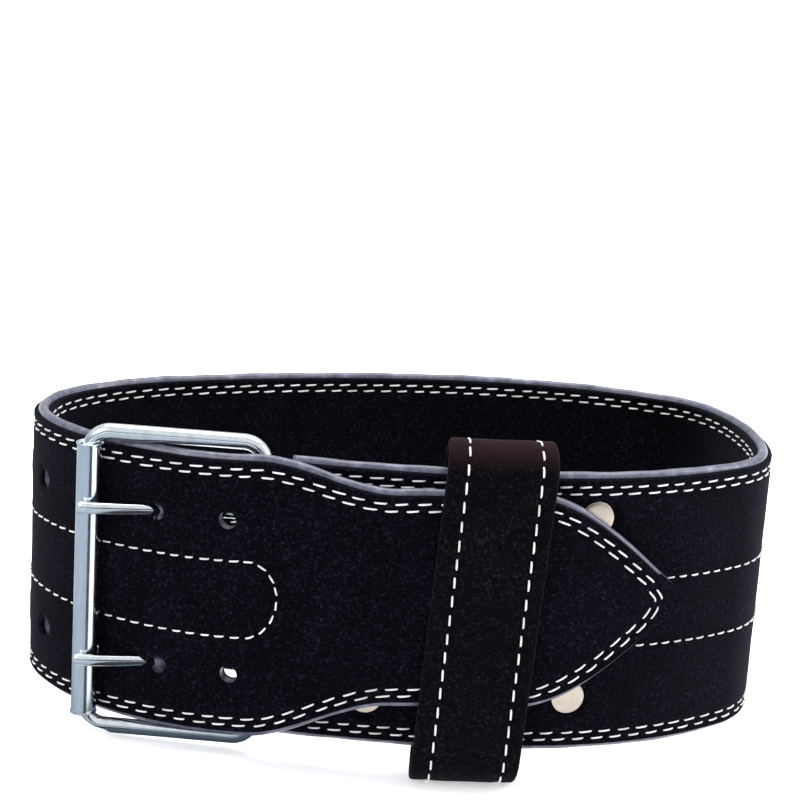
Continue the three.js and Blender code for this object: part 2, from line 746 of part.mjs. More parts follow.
const belt = new THREE.Group();
belt.add(standing);
standing.quaternion.setFromUnitVectors(restNormal(standing), new THREE.Vector3(0, 0, 1));
belt.updateMatrixWorld(true);
const reachBox = new THREE.Box3().setFromObject(belt, true);
standing.position.set(
  -(reachBox.min.x + reachBox.max.x) / 2,
  -(reachBox.min.y + reachBox.max.y) / 2,
  -reachBox.min.z,
);

export default belt;
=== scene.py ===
import json
import math

import bmesh
import bpy
import numpy as np
from mathutils import Matrix, Vector


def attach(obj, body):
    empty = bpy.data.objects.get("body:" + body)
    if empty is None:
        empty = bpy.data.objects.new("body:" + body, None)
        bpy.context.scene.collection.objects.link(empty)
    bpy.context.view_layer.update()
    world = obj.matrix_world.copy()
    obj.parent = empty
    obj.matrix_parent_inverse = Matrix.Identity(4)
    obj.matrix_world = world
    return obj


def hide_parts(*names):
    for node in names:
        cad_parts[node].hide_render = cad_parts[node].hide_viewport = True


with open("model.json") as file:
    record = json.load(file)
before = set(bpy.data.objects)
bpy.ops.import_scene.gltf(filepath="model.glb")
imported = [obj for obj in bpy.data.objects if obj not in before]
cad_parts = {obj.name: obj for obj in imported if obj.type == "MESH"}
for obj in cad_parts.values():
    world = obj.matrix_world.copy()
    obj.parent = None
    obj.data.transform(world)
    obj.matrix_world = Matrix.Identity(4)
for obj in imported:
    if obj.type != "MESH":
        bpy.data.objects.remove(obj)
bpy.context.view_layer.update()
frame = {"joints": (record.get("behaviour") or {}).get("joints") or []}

# A black suede weightlifting belt, buckled into a closed loop that stands on its edge.
# Sizes are in millimetres, in the belt's own frame, and become metres when a mesh is made. Names
# that end in _M hold metres, and in _DEG degrees.
# A place on the strap is s, along it from the hinge bar towards +X and round; o, outwards from
# the plan curve; and z, up from the strap's lower edge.
MM = 0.001
SEED = 7

# Strap
STRAP_WIDTH = 101.6
SUEDE = 1.4
CORE = 3.7
LINING = 1.3
GAP = 0.3
GLUE_LINE = 0.1
HALF_STRAP = (SUEDE + CORE + LINING) / 2 + GAP
MID_Z = STRAP_WIDTH / 2
CORE_MIDDLE = (LINING - SUEDE) / 2
RIM_ROUND = 2.3
RIM_LOW = 1.4
CORE_CROWN = 2.2
CORE_SINK = 0.8
CUT_REACH = 2

# Plan curve
LOOP_HALF_WIDTH = 136.1
LOOP_HALF_DEPTH = 76.9
SIDE_RADIUS = 58.7
FRONT_SHIFT = 29.7
PLAN_SAMPLES = 1440
HINGE_X = -54
SLOPE_REACH = 3
SEARCH_STEP = 0.02

# Tongue
TONGUE_LENGTH = 150
TONGUE_WIDTH = 77.6
SHOULDER_START = 0
SHOULDER_LENGTH = 48
POINT_LENGTH = 60
POINT_FULLNESS = 1.1
TIP_RADIUS = 6
TIP_SLOPE = 0.75
TONGUE_RISE = 7
RISE_START = -30
RISE_LENGTH = 110
LAP_GAP = 1.1
LAP_RISE_LENGTH = 120
LAP_SETTLE_LENGTH = 25

# Holes
HOLE_DIAMETER = 6.5
HOLE_PITCH = 26
HOLE_COUNT = 6
HOLE_ROW_HEIGHT = 28
HOLE_ROW_STAGGER = 2.6
HOLE_LIP = 0.35
HOLE_LIP_RADIUS = 5.0
HOLE_LIP_WIDTH = 1.2
HOLE_DIP = 0.7
HOLE_DIP_RADIUS = 3.9

# Buckle
WIRE_DIAMETER = 5.6
FRAME_LENGTH = 61.5
FRAME_SIDE_GAP = 0.8
FRAME_CORNER_RADIUS = 7.5
ROLLER_DIAMETER = 8.9
ROLLER_WALL = 0.7
ROLLER_LENGTH = 100
ROLLER_LIP = 0.4
PRONG_WALL = 1.8
PRONG_ROOT_HEIGHT = 3.4
PRONG_TIP_HEIGHT = 4.4
PRONG_THICKNESS = 3.2
PRONG_OVERHANG = 2.8
PRONG_HOLE_PLACE = 35
PRONG_BEND_PLACE = 19.6
PRONG_BEHIND = 0.5
PRONG_TIP_DROP = 0.3
PRONG_END_LENGTH = 1.6
PRONG_END_PLACES = (0.35, 0.65, 0.88, 1.0)
PRONG_END_CURVE = (0.30, 0.62, 0.86, 1.0)
PRONG_END_BLUNT = 0.92
PRONG_RING_SQUARENESS = 0.6

# Fold round the hinge bar
FOLD_LEATHER = 1.6
FOLD_WIDTH = 88
FOLD_PINCH = 10
FOLD_SLOT_LENGTH = 8
FOLD_SLOT_REACH = 1
FOLD_SHOWN = 22

# Keeper
KEEPER_PLACE = 78
KEEPER_WIDTH = 36
KEEPER_LEATHER = 3.2
KEEPER_EASE = 0.5
KEEPER_TOP_SLACK = 0.7
KEEPER_BOTTOM_SLACK = -0.5
KEEPER_LEAN_DEG = 2.9
KEEPER_EDGE_ROUND = 1.3
KEEPER_BACK_BEVEL = 0.6
KEEPER_FACE_DEPTH = 0.05
KEEPER_GROOVE_DEPTH = 0.30
KEEPER_GROOVE_WIDTH = 1.1
# Heights in metres of the keeper's top bend, which gets the painted sheen
KEEPER_SHEEN_FROM_M = 0.1165
KEEPER_SHEEN_TO_M = 0.126

# Rivets
RIVET_HEAD_RADIUS = 6
RIVET_HEAD = 1.3
RIVET_SINK = 0.8
RIVET_SHANK_RADIUS = 1.8
RIVET_CROWN_DROP = 0.35
RIVET_DOME = 0.495
RIVET_MIDDLE_RADII = (0.01, 0.08)
RIVET_RIM = 0.35
RIVET_RIM_ROUND = 0.3
RIVET_RIM_SWELL = 0.02
RIVET_ARC_START = 0.001
RIVET_SEAT_DROP = 0.55
RIVET_DIP_WIDTH = 2.2
RIVET_LIP = 0.25
RIVET_LIP_RADIUS = 9.2
RIVET_LIP_WIDTH = 1.6
RIVET_ROW_HEIGHT = 33
RIVET_NEAR_PLACE = 40
RIVET_FAR_PLACE = 113.7
RIVET_FAR_LEAN = 2.6
RIVET_FAR_RISE = 2.4

# Stitches
EDGE_ROWS = (4.2, 6.7)
EDGE_ROW_STARTS = (0.3, 0.8)
EDGE_PITCH = 7.2
APEX_BACK = 6.8
APEX_ROUND = 4.0
STITCH_SHARE = 0.74
THREAD_RADIUS = 0.35
STITCH_RISE = 0.36
STITCH_DIVE = 0.55
STITCH_TURN_DEG = 3.5
STITCH_ARCH = 0.45
STITCH_TAPER = 0.5
STITCH_FLATNESS = 0.8
STITCH_DRIFT = 0.025
STITCH_SPREAD = 0.05
ROW_START = 3
LOOP_ROW_PITCH = 5.2
LOOP_ROW_START = 0.2
CLEAR_OF_RIVET = 1
CLEAR_OF_HOLE = 1.5
KEEPER_ROWS = (-11.4, 12.6)
KEEPER_PITCH = 6.7
KEEPER_THREAD_SHARE = 1.06
KEEPER_ROW_START = 0.35
KEEPER_STITCH_DRIFT = 0.12
KEEPER_STITCH_SPREAD = 0.03
KEEPER_STITCH_SINK = 0.28
GROOVE_DEPTH = 0.38
GROOVE_WIDTH = 1.0

# Unevenness of the leather: height, two lengths for each wave, and its shift from face to face
SKIN_WAVES = ((0.10, 9.7, 17.0, -31.0, 11.3, 1), (0.06, 4.1, -6.3, 8.9, 5.7, 2))
EDGE_WAVES = ((0.12, 7.3, 0), (0.08, 2.9, 1))
KEEPER_WAVE = (0.08, 4.7, 6.1, 8.1, 9.3)
WAVES_FADE = 8

# Loop-shaped stitch rows along the middle of the strap
TONGUE_LOOP_END = 9
TONGUE_LOOP_HALF = 13.9
BACK_LOOP_HALF = 11.5
HINGE_LOOP_START = 26
HINGE_LOOP_HALF = 11.8
HINGE_LOOP_END_HALF = 13.0
LOOP_ROUND = 11
BARE_BACK = 152

# Mesh steps
STEP_ALONG = 1.6
STEP_ACROSS = 1.7
STEP_EDGE = 0.55
STEP_ROW = 0.5
STEP_LOOP = 1.0
ROWS_BAND = 10.0
RIM_STEPS = 6
CORE_STEPS = 9
POINT_STEPS = 64
POINT_CROWDING = 1.8
TIP_STOP = 0.02
SLOPE_STEPS = 4000
LOOP_STEPS = 24
STITCH_STEPS = 7
STITCH_SIDES = 8
HOLE_SIDES = 40
WIRE_SIDES = 40
BEND_STEPS = 14
ROLLER_SIDES = 96
SHANK_SIDES = 28
SHANK_STEPS = 60
SHANK_CUT_STEPS = 24
SHANK_CUT_START = 6
SHANK_LINE_STEPS = 24
SHANK_SLOPE_REACH = 0.4
PRONG_RING_SIDES = 64
PRONG_RING_SECTION = 20
RIVET_SIDES = 56
RIVET_ARC_STEPS = 14
FOLD_STEP = 2.0
FOLD_TURN_STEPS = 44
FOLD_ROWS = 45
KEEPER_SIDE_STEPS = 60
KEEPER_BEND_STEPS = 26
KEEPER_ACROSS_STEPS = 44

LAP = 2 * HALF_STRAP + LAP_GAP
WIRE_RADIUS = WIRE_DIAMETER / 2
ROLLER_RADIUS = ROLLER_DIAMETER / 2
RING_OUTER = WIRE_RADIUS + GAP + PRONG_WALL
FOLD_OUTER = WIRE_RADIUS + GAP + FOLD_LEATHER
HINGE_LIFT = max(RING_OUTER, FOLD_OUTER) + GAP + HALF_STRAP
KEEPER_MIDDLE = LAP / 2
KEEPER_BEND = LAP / 2 + HALF_STRAP + KEEPER_EASE
KEEPER_TOP = STRAP_WIDTH + KEEPER_TOP_SLACK
KEEPER_BOTTOM = -KEEPER_BOTTOM_SLACK
KEEPER_LEAN = math.tan(math.radians(KEEPER_LEAN_DEG))
STITCH_TURN = STITCH_TURN_DEG * math.pi / 180
random = np.random.default_rng(SEED)


def smooth(t):
    u = np.clip(t, 0, 1)
    return u * u * (3 - 2 * u)


# Plan curve

def oval_points():
    side = LOOP_HALF_WIDTH - SIDE_RADIUS
    long_radius = (side**2 + LOOP_HALF_DEPTH**2 - SIDE_RADIUS**2) / (2 * (LOOP_HALF_DEPTH - SIDE_RADIUS))
    long_centre = long_radius - LOOP_HALF_DEPTH
    meet = math.atan2(side, long_centre)
    turn = np.arange(PLAN_SAMPLES) / PLAN_SAMPLES * 2 * math.pi
    fold = np.arcsin(np.abs(np.sin(turn)))
    x = np.where(fold < meet, long_radius * np.sin(fold), side + SIDE_RADIUS * np.sin(fold))
    y = np.where(fold < meet, long_radius * np.cos(fold) - long_centre, SIDE_RADIUS * np.cos(fold))
    x = np.where(np.sin(turn) < 0, -1, 1) * x + FRONT_SHIFT * (y / LOOP_HALF_DEPTH) ** 2
    y = np.where(np.cos(turn) < 0, 1, -1) * y
    return np.stack([x, y], axis=1)


OVAL = oval_points()
OVAL_CLOSED = np.vstack([OVAL, OVAL[:1]])
OVAL_LENGTHS = np.concatenate([[0], np.cumsum(np.linalg.norm(np.diff(OVAL_CLOSED, axis=0), axis=1))])
LOOP_LENGTH = OVAL_LENGTHS[-1]
HINGE_AT = OVAL_LENGTHS[np.flatnonzero((OVAL[:, 1] < 0) & (OVAL[:, 0] <= HINGE_X)).max()]
STRAP_START = FOLD_PINCH
STRAP_END = LOOP_LENGTH + TONGUE_LENGTH


def oval_at(distance):
    d = np.mod(distance, LOOP_LENGTH)
    x = np.interp(d, OVAL_LENGTHS, OVAL_CLOSED[:, 0])
    y = np.interp(d, OVAL_LENGTHS, OVAL_CLOSED[:, 1])
    return np.stack([x, y], axis=-1)


def place(s, o, z):
    """Points of the belt's frame at places on the strap."""
    s, o, z = np.broadcast_arrays(*(np.asarray(v, float) for v in (s, o, z)))
    slope = oval_at(HINGE_AT + s + SLOPE_REACH) - oval_at(HINGE_AT + s - SLOPE_REACH)
    slope /= np.linalg.norm(slope, axis=-1, keepdims=True)
    out = np.stack([slope[..., 1], -slope[..., 0]], axis=-1)
    xy = oval_at(HINGE_AT + s) + o[..., None] * out
    return np.concatenate([xy, z[..., None]], axis=-1)


def lift(s):
    """How far the strap's middle lies outside the plan curve."""
    lap = np.asarray(s, float) - LOOP_LENGTH
    before = HINGE_LIFT * smooth(1 + lap / LAP_RISE_LENGTH)
    after = HINGE_LIFT + (LAP - HINGE_LIFT) * smooth(lap / LAP_SETTLE_LENGTH)
    return np.where(lap < 0, before, after)


def half_width(s):
    """Half the strap's width: full, then the shoulder, the tongue and its point."""
    lap = np.asarray(s, float) - LOOP_LENGTH
    full = STRAP_WIDTH / 2
    narrow = TONGUE_WIDTH / 2
    waist = full + (narrow - full) * smooth((lap - SHOULDER_START) / SHOULDER_LENGTH)
    left = np.clip(TONGUE_LENGTH - lap, 0, None)
    arch = narrow * np.sin(math.pi / 2 * np.clip(left / POINT_LENGTH, 0, 1) ** POINT_FULLNESS)
    tip = np.sqrt(np.clip(TIP_RADIUS**2 - np.clip(TIP_RADIUS - left, 0, None) ** 2, 0, None))
    return np.where(left >= POINT_LENGTH, waist, np.minimum(arch, tip + left * TIP_SLOPE))


def rise(s):
    """How far the tongue's middle lies above the strap's."""
    return TONGUE_RISE * smooth((np.asarray(s, float) - LOOP_LENGTH - RISE_START) / RISE_LENGTH)


# The belt's frame stands in the part's frame as the roller's joint says: its axis is the belt's up,
# and its anchor is the roller's middle.

def roller_middle():
    hinge = place(0, 0, 0)
    s = LOOP_LENGTH - np.arange(0, 2 * FRAME_LENGTH, SEARCH_STEP)
    axis = place(s, lift(s) + HALF_STRAP + GAP + ROLLER_RADIUS + ROLLER_LIP, MID_Z)
    reach = np.linalg.norm(axis[:, :2] - hinge[:2], axis=1)
    return axis[np.argmax(reach >= FRAME_LENGTH)]


ROLLER_MIDDLE = roller_middle()
SPIN = next(joint for joint in frame["joints"] if joint["name"] == "roller_spin")
BELT_UP = Vector(SPIN["axis"]).normalized()
TURN = Vector((0, 0, 1)).rotation_difference(BELT_UP).to_matrix()
STAND = np.array(TURN)
SHIFT = np.array(SPIN["pos_m"]) - STAND @ (ROLLER_MIDDLE * MM)


def stand(points):
    """Belt frame in millimetres to the part's frame in metres."""
    return np.asarray(points, float) @ STAND.T * MM + SHIFT


# The buckle's frame: X from the hinge bar to the roller, Y outwards, Z up from the strap's middle.
HINGE = place(0, 0, MID_Z)
ALONG = (ROLLER_MIDDLE - HINGE) / np.linalg.norm(ROLLER_MIDDLE - HINGE)
OUTWARDS = np.array([-ALONG[1], ALONG[0], 0])


def from_buckle(points):
    p = np.asarray(points, float)
    return HINGE + p[..., :1] * ALONG + p[..., 1:2] * OUTWARDS + p[..., 2:3] * np.array([0, 0, 1])


def strap_in_buckle(along):
    """Where the strap's middle passes a distance along the buckle: its s and its Y there."""
    s = LOOP_LENGTH - np.arange(0, 2 * FRAME_LENGTH, SEARCH_STEP)
    p = place(s, lift(s), MID_Z) - HINGE
    k = np.argmin(np.abs(p @ ALONG - along))
    return s[k], (p @ OUTWARDS)[k]


CROSSING_S, CROSSING_Y = strap_in_buckle(PRONG_HOLE_PLACE)
HOLE_PLACES = [
    (CROSSING_S + HOLE_PITCH - i * HOLE_PITCH - row * HOLE_ROW_STAGGER / 2, row)
    for i in range(HOLE_COUNT)
    for row in (-1, 1)
]
HOLES = [(s, MID_Z + float(rise(s)) + row * HOLE_ROW_HEIGHT) for s, row in HOLE_PLACES]
FAR_ROWS_MIDDLE = MID_Z + RIVET_FAR_RISE
RIVETS = {
    "rivet_near_upper": (RIVET_NEAR_PLACE, MID_Z + RIVET_ROW_HEIGHT),
    "rivet_near_lower": (RIVET_NEAR_PLACE, MID_Z - RIVET_ROW_HEIGHT),
    "rivet_far_upper": (RIVET_FAR_PLACE + RIVET_FAR_LEAN, FAR_ROWS_MIDDLE + RIVET_ROW_HEIGHT),
    "rivet_far_lower": (RIVET_FAR_PLACE - RIVET_FAR_LEAN, FAR_ROWS_MIDDLE - RIVET_ROW_HEIGHT),
}


# Mesh helpers

def outwards_facing(mesh):
    """Turns every face of a closed mesh to the outside."""
    bm = bmesh.new()
    bm.from_mesh(mesh)
    bmesh.ops.recalc_face_normals(bm, faces=bm.faces)
    bm.to_mesh(mesh)
    bm.free()


def make(name, points, faces, material, body="belt"):
    """A new piece from points in the part's frame, in metres."""
    mesh = bpy.data.meshes.new(name)
    mesh.from_pydata([tuple(p) for p in points], [], faces)
    mesh.validate()
    outwards_facing(mesh)
    mesh.polygons.foreach_set("use_smooth", [True] * len(mesh.polygons))
    piece = bpy.data.objects.new(name, mesh)
    bpy.context.scene.collection.objects.link(piece)
    mesh.materials.append(material)
    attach(piece, body)
    return piece


def ring_faces(rings, count, closed, first=0):
    """Quads between rings of count points each, and caps where the row is open."""
    faces = []
    for r in range(rings if closed else rings - 1):
        a = first + r * count
        b = first + (r + 1) % rings * count
        for i in range(count):
            j = (i + 1) % count
            faces.append((a + i, a + j, b + j, b + i))
    if not closed:
        end = first + (rings - 1) * count
        faces.append(tuple(first + i for i in reversed(range(count))))
        faces.append(tuple(end + i for i in range(count)))
    return faces


def loft(name, rings, closed, material, body="belt"):
    rings = np.asarray(rings)
    points = rings.reshape(-1, 3)
    return make(name, points, ring_faces(len(rings), rings.shape[1], closed), material, body)


def cutter(parts):
    """One object of closed meshes that are cut out of another piece."""
    points = []
    faces = []
    for rings, closed in parts:
        rings = np.asarray(rings)
        faces += ring_faces(len(rings), rings.shape[1], closed, len(points))
        points += [tuple(p) for p in rings.reshape(-1, 3)]
    mesh = bpy.data.meshes.new("cutter")
    mesh.from_pydata(points, [], faces)
    outwards_facing(mesh)
    tool = bpy.data.objects.new("cutter", mesh)
    bpy.context.scene.collection.objects.link(tool)
    return tool


def cut(piece, tool):
    """Cuts the tool out of the piece, for good."""
    boolean = piece.modifiers.new("cut", "BOOLEAN")
    boolean.operation = "DIFFERENCE"
    boolean.solver = "MANIFOLD"
    boolean.object = tool
    graph = bpy.context.evaluated_depsgraph_get()
    mesh = bpy.data.meshes.new_from_object(piece.evaluated_get(graph))
    piece.modifiers.remove(boolean)
    old = piece.data
    material = old.materials[0]
    piece.data = mesh
    bpy.data.meshes.remove(old)
    mesh.materials.clear()
    mesh.materials.append(material)
    mesh.polygons.foreach_set("material_index", [0] * len(mesh.polygons))


def bar(s, z, low, high, radius):
    """A round bar through the strap, as two rings."""
    turn = np.arange(HOLE_SIDES) / HOLE_SIDES * 2 * math.pi
    middle = place(s, 0, z)
    out = place(s, 1, z) - middle
    side = np.array([-out[1], out[0], 0])
    circle = radius * (np.cos(turn)[:, None] * side + np.sin(turn)[:, None] * np.array([0, 0, 1]))
    return [stand(middle + circle + o * out) for o in (low, high)]


# Stitch rows, as lines of (s, z) along the strap

def outline_row(inset):
    """The row that follows the upper edge of the strap, at an inset, to the tongue's point."""
    s = np.arange(STRAP_START + ROW_START, STRAP_END, STEP_ROW)
    half = half_width(s)
    slope = np.gradient(half, s)
    scale = np.sqrt(1 + slope**2)
    row_s = s + inset * slope / scale
    row_z = half - inset / scale
    end = STRAP_END - inset - APEX_BACK
    row_z = row_z * np.sqrt(np.clip((end - row_s) / APEX_ROUND, 0, 1))
    keep = (row_z > 0) & (row_s < end)
    keep &= np.maximum.accumulate(row_s) <= row_s
    return np.stack([row_s[keep], row_z[keep]], axis=1)


def loop_half(s, start, end, near, far):
    """Half height of a loop-shaped row, with round ends."""
    height = near + (far - near) * smooth((s - start) / (end - start))
    inward = np.minimum(s - start, end - s)
    round_end = np.sqrt(np.clip(1 - (1 - np.clip(inward / LOOP_ROUND, 0, 1)) ** 2, 0, 1))
    return height * round_end


def loop_row(start, end, near, far):
    """A closed loop-shaped row from one place on the strap to another."""
    t = 1 - np.cos(np.linspace(0, math.pi / 2, LOOP_STEPS))
    straight = np.arange(start + LOOP_ROUND, end - LOOP_ROUND, STEP_LOOP)[1:]
    s = np.concatenate([start + LOOP_ROUND * t, straight, end - LOOP_ROUND * t[::-1]])
    z = loop_half(s, start, end, near, far)
    upper = np.stack([s, z], axis=1)
    lower = np.stack([s[::-1], -z[::-1]], axis=1)
    return np.vstack([upper, lower[1:]])


BACK_MIDDLE = (OVAL_LENGTHS[np.argmax(OVAL[:, 1])] - HINGE_AT) % LOOP_LENGTH
LOOP_ROWS = [
    loop_row(HINGE_LOOP_START, BACK_MIDDLE - BARE_BACK / 2, HINGE_LOOP_HALF, HINGE_LOOP_END_HALF),
    loop_row(BACK_MIDDLE + BARE_BACK / 2, LOOP_LENGTH + TONGUE_LOOP_END, BACK_LOOP_HALF, TONGUE_LOOP_HALF),
]


def walk(row, pitch, start):
    """The places along each stitch of a row, one stitch after another."""
    length = np.concatenate([[0], np.cumsum(np.linalg.norm(np.diff(row, axis=0), axis=1))])
    at = np.arange(start * pitch, length[-1] - STITCH_SHARE * pitch, pitch)
    drift = random.normal(0, STITCH_DRIFT * pitch, len(at))
    stitch = pitch * STITCH_SHARE * (1 + random.normal(0, STITCH_SPREAD, len(at)))
    for first, long in zip(at + drift, stitch):
        t = np.linspace(first, first + long, STITCH_STEPS)
        yield np.stack([np.interp(t, length, row[:, 0]), np.interp(t, length, row[:, 1])], axis=1)


SLOPE_PLACES = np.linspace(STRAP_START, STRAP_END, SLOPE_STEPS)
EDGE_SLOPE = np.gradient(half_width(SLOPE_PLACES), SLOPE_PLACES)


def relief(s, z, face):
    """How far a face of the strap stands proud of its plain surface."""
    half = half_width(s)
    tilt = np.interp(s, SLOPE_PLACES, EDGE_SLOPE)
    inset = (half - np.abs(z - MID_Z - rise(s))) / np.sqrt(1 + tilt**2)
    out = np.zeros(np.broadcast(s, z).shape)
    for row in EDGE_ROWS:
        out -= GROOVE_DEPTH * np.exp(-(((inset - row) / GROOVE_WIDTH) ** 2))
    for hole_s, hole_z in HOLES:
        r = np.hypot(s - hole_s, z - hole_z)
        out += HOLE_LIP * np.exp(-(((r - HOLE_LIP_RADIUS) / HOLE_LIP_WIDTH) ** 2))
        out -= HOLE_DIP * np.exp(-((r / HOLE_DIP_RADIUS) ** 4))
    for rivet_s, rivet_z in RIVETS.values():
        r = np.hypot(s - rivet_s, z - rivet_z)
        out -= RIVET_SINK * (1 - smooth((r - RIVET_HEAD_RADIUS - GAP) / RIVET_DIP_WIDTH))
        out += RIVET_LIP * np.exp(-(((r - RIVET_LIP_RADIUS) / RIVET_LIP_WIDTH) ** 2))
    wave = 0
    for height, s_one, z_one, s_two, z_two, shift in SKIN_WAVES:
        wave = wave + height * np.sin(s / s_one + z / z_one) * np.sin(z / z_two + s / s_two + shift * face)
    return out + wave * smooth(inset / WAVES_FADE)


def stitch_rings(points, outs, radius):
    """Rings of one thread stitch, from points along it and the outward direction at each."""
    u = np.linspace(0, 1, len(points))
    from_middle = np.abs(2 * u - 1)
    height = STITCH_RISE * np.sin(math.pi * u) ** STITCH_ARCH - STITCH_DIVE * from_middle**6
    thick = radius * (1 - STITCH_TAPER * from_middle**4)
    along = np.gradient(points, axis=0)
    along /= np.linalg.norm(along, axis=1, keepdims=True)
    side = np.cross(outs, along)
    turn = STITCH_TURN * np.linalg.norm(points[-1] - points[0])
    middle = points + outs * height[:, None] + side * ((u - 0.5) * turn)[:, None]
    angles = np.arange(STITCH_SIDES) / STITCH_SIDES * 2 * math.pi
    across = np.cos(angles)[None, :, None] * side[:, None]
    upright = STITCH_FLATNESS * np.sin(angles)[None, :, None] * outs[:, None]
    return middle[:, None] + (across + upright) * thick[:, None, None]


def thread_piece(name, stitches, material):
    """Many stitches as one mesh."""
    points = []
    faces = []
    for rings in stitches:
        faces += ring_faces(rings.shape[0], rings.shape[1], False, len(points))
        points += [tuple(p) for p in stand(rings.reshape(-1, 3))]
    return make(name, points, faces, material)


def strap_stitches(face):
    """Every stitch on one face of the strap."""
    rows = []
    for inset, start in zip(EDGE_ROWS, EDGE_ROW_STARTS):
        upper = outline_row(inset)
        lower = upper[::-1] * np.array([1, -1])
        rows.append((np.vstack([upper, lower]), EDGE_PITCH, start))
    rows += [(row, LOOP_ROW_PITCH, LOOP_ROW_START) for row in LOOP_ROWS]
    for row, pitch, start in rows:
        for stitch in walk(row, pitch, start):
            s, z = stitch[:, 0], stitch[:, 1] + MID_Z + rise(stitch[:, 0])
            if broken_off(s.mean(), z.mean()):
                continue
            surface = lift(s) + face * (HALF_STRAP + relief(s, z, face))
            points = place(s, surface, z)
            outs = place(s, surface + face, z) - points
            yield stitch_rings(points, outs, THREAD_RADIUS)


def broken_off(s, z):
    """Whether a row leaves out the stitch here, for a rivet's head or a hole."""
    for rivet_s, rivet_z in RIVETS.values():
        if math.hypot(s - rivet_s, z - rivet_z) < RIVET_HEAD_RADIUS + CLEAR_OF_RIVET:
            return True
    for hole_s, hole_z in HOLES:
        if math.hypot(s - hole_s, z - hole_z) < HOLE_DIAMETER / 2 + CLEAR_OF_HOLE:
            return True
    return False


# Materials

# Colours of each nap, in linear light: between the fibres, along them and at their bright ends
SUEDE_COLOURS = ((0.0005, 0.0005, 0.0014), (0.0014, 0.0012, 0.0034), (0.013, 0.012, 0.022))
LINING_COLOURS = ((0.0005, 0.0005, 0.0012), (0.0012, 0.0011, 0.0028), (0.011, 0.011, 0.018))
KEEPER_COLOURS = ((0.0009, 0.0006, 0.0012), (0.0020, 0.0013, 0.0026), (0.015, 0.011, 0.017))
# Painted sheen: a lighter reddish colour for the keeper's top bend, where the light from above falls on
# the nap
KEEPER_SHEEN_COLOUR = (0.019, 0.008, 0.009)


def parts_of(material):
    """The nodes of a material, their links and the shader among them."""
    nodes = material.node_tree.nodes
    shader = next(node for node in nodes if node.type == "BSDF_PRINCIPLED")
    return nodes, material.node_tree.links, shader


def new_material(name):
    material = bpy.data.materials.new(name)
    material.use_nodes = True
    return material, *parts_of(material)


def put(node, values):
    """Values for a node's inputs, by their names."""
    for name, value in values.items():
        node.inputs[name].default_value = value


def noise(nodes, links, coords, scale, detail=4.0, rough=0.55, distortion=0.0):
    node = nodes.new("ShaderNodeTexNoise")
    put(node, {"Scale": scale, "Detail": detail, "Roughness": rough, "Distortion": distortion})
    links.new(coords, node.inputs["Vector"])
    return node.outputs["Fac"]


def ramp(nodes, links, value, stops):
    """A colour for a value, from stops of place and colour."""
    node = nodes.new("ShaderNodeValToRGB")
    while len(node.color_ramp.elements) < len(stops):
        node.color_ramp.elements.new(0.5)
    for element, (at, colour) in zip(node.color_ramp.elements, stops):
        element.position = at
        element.color = (*colour, 1)
    links.new(value, node.inputs["Fac"])
    return node.outputs["Color"]


def object_coords(nodes):
    return nodes.new("ShaderNodeTexCoord").outputs["Object"]


def multiply(nodes, links, first, second):
    """One colour multiplied by another."""
    mix = nodes.new("ShaderNodeMix")
    mix.data_type = "RGBA"
    mix.blend_type = "MULTIPLY"
    mix.inputs["Factor"].default_value = 1
    links.new(first, mix.inputs["A"])
    links.new(second, mix.inputs["B"])
    return mix.outputs["Result"]


def between(nodes, links, value, low, high, first, colour):
    """One colour below a value, another above it, and a soft change between."""
    share = nodes.new("ShaderNodeMapRange")
    put(share, {"From Min": low, "From Max": high})
    links.new(value, share.inputs["Value"])
    mix = nodes.new("ShaderNodeMix")
    mix.data_type = "RGBA"
    links.new(share.outputs["Result"], mix.inputs["Factor"])
    links.new(first, mix.inputs["A"])
    mix.inputs["B"].default_value = (*colour, 1)
    return mix.outputs["Result"]


def bump(nodes, links, shader, layers):
    """Chained bumps: height, distance in metres and strength of each."""
    normal = None
    for height, distance, strength in layers:
        node = nodes.new("ShaderNodeBump")
        put(node, {"Distance": distance, "Strength": strength})
        links.new(height, node.inputs["Height"])
        if normal is not None:
            links.new(normal, node.inputs["Normal"])
        normal = node.outputs["Normal"]
    links.new(normal, shader.inputs["Normal"])


def suede_material(name, deep, light, speck):
    """Napped suede: fine fibre grain, patches of brushed nap and a soft sheen."""
    material, nodes, links, shader = new_material(name)
    coords = object_coords(nodes)
    fibre = noise(nodes, links, coords, 2600, 3, 0.7)
    grain = noise(nodes, links, coords, 900, 5, 0.65)
    patch = noise(nodes, links, coords, 38, 4, 0.6, 0.6)
    base = ramp(nodes, links, grain, [(0.38, deep), (0.54, light), (0.68, speck)])
    shade = ramp(nodes, links, patch, [(0.30, (0.62,) * 3), (0.70, (1.25,) * 3)])
    links.new(multiply(nodes, links, base, shade), shader.inputs["Base Color"])
    put(shader, {"Roughness": 0.95, "Specular IOR Level": 0.05, "Sheen Weight": 0.035,
                 "Sheen Roughness": 0.45, "Sheen Tint": (0.75, 0.75, 0.95, 1)})
    bump(nodes, links, shader, [(fibre, 0.0002, 0.5), (grain, 0.0004, 0.55)])
    return material


def painted_sheen_top(material, low_m, high_m, colour):
    """Painted reddish sheen on the nap, from one height up to another, for the light falling on the
    keeper's top bend.
    """
    nodes, links, shader = parts_of(material)
    base = shader.inputs["Base Color"].links[0].from_socket
    ways = nodes.new("ShaderNodeSeparateXYZ")
    links.new(object_coords(nodes), ways.inputs["Vector"])
    sheen_mix = between(nodes, links, ways.outputs["Z"], low_m, high_m, base, colour)
    links.new(sheen_mix, shader.inputs["Base Color"])


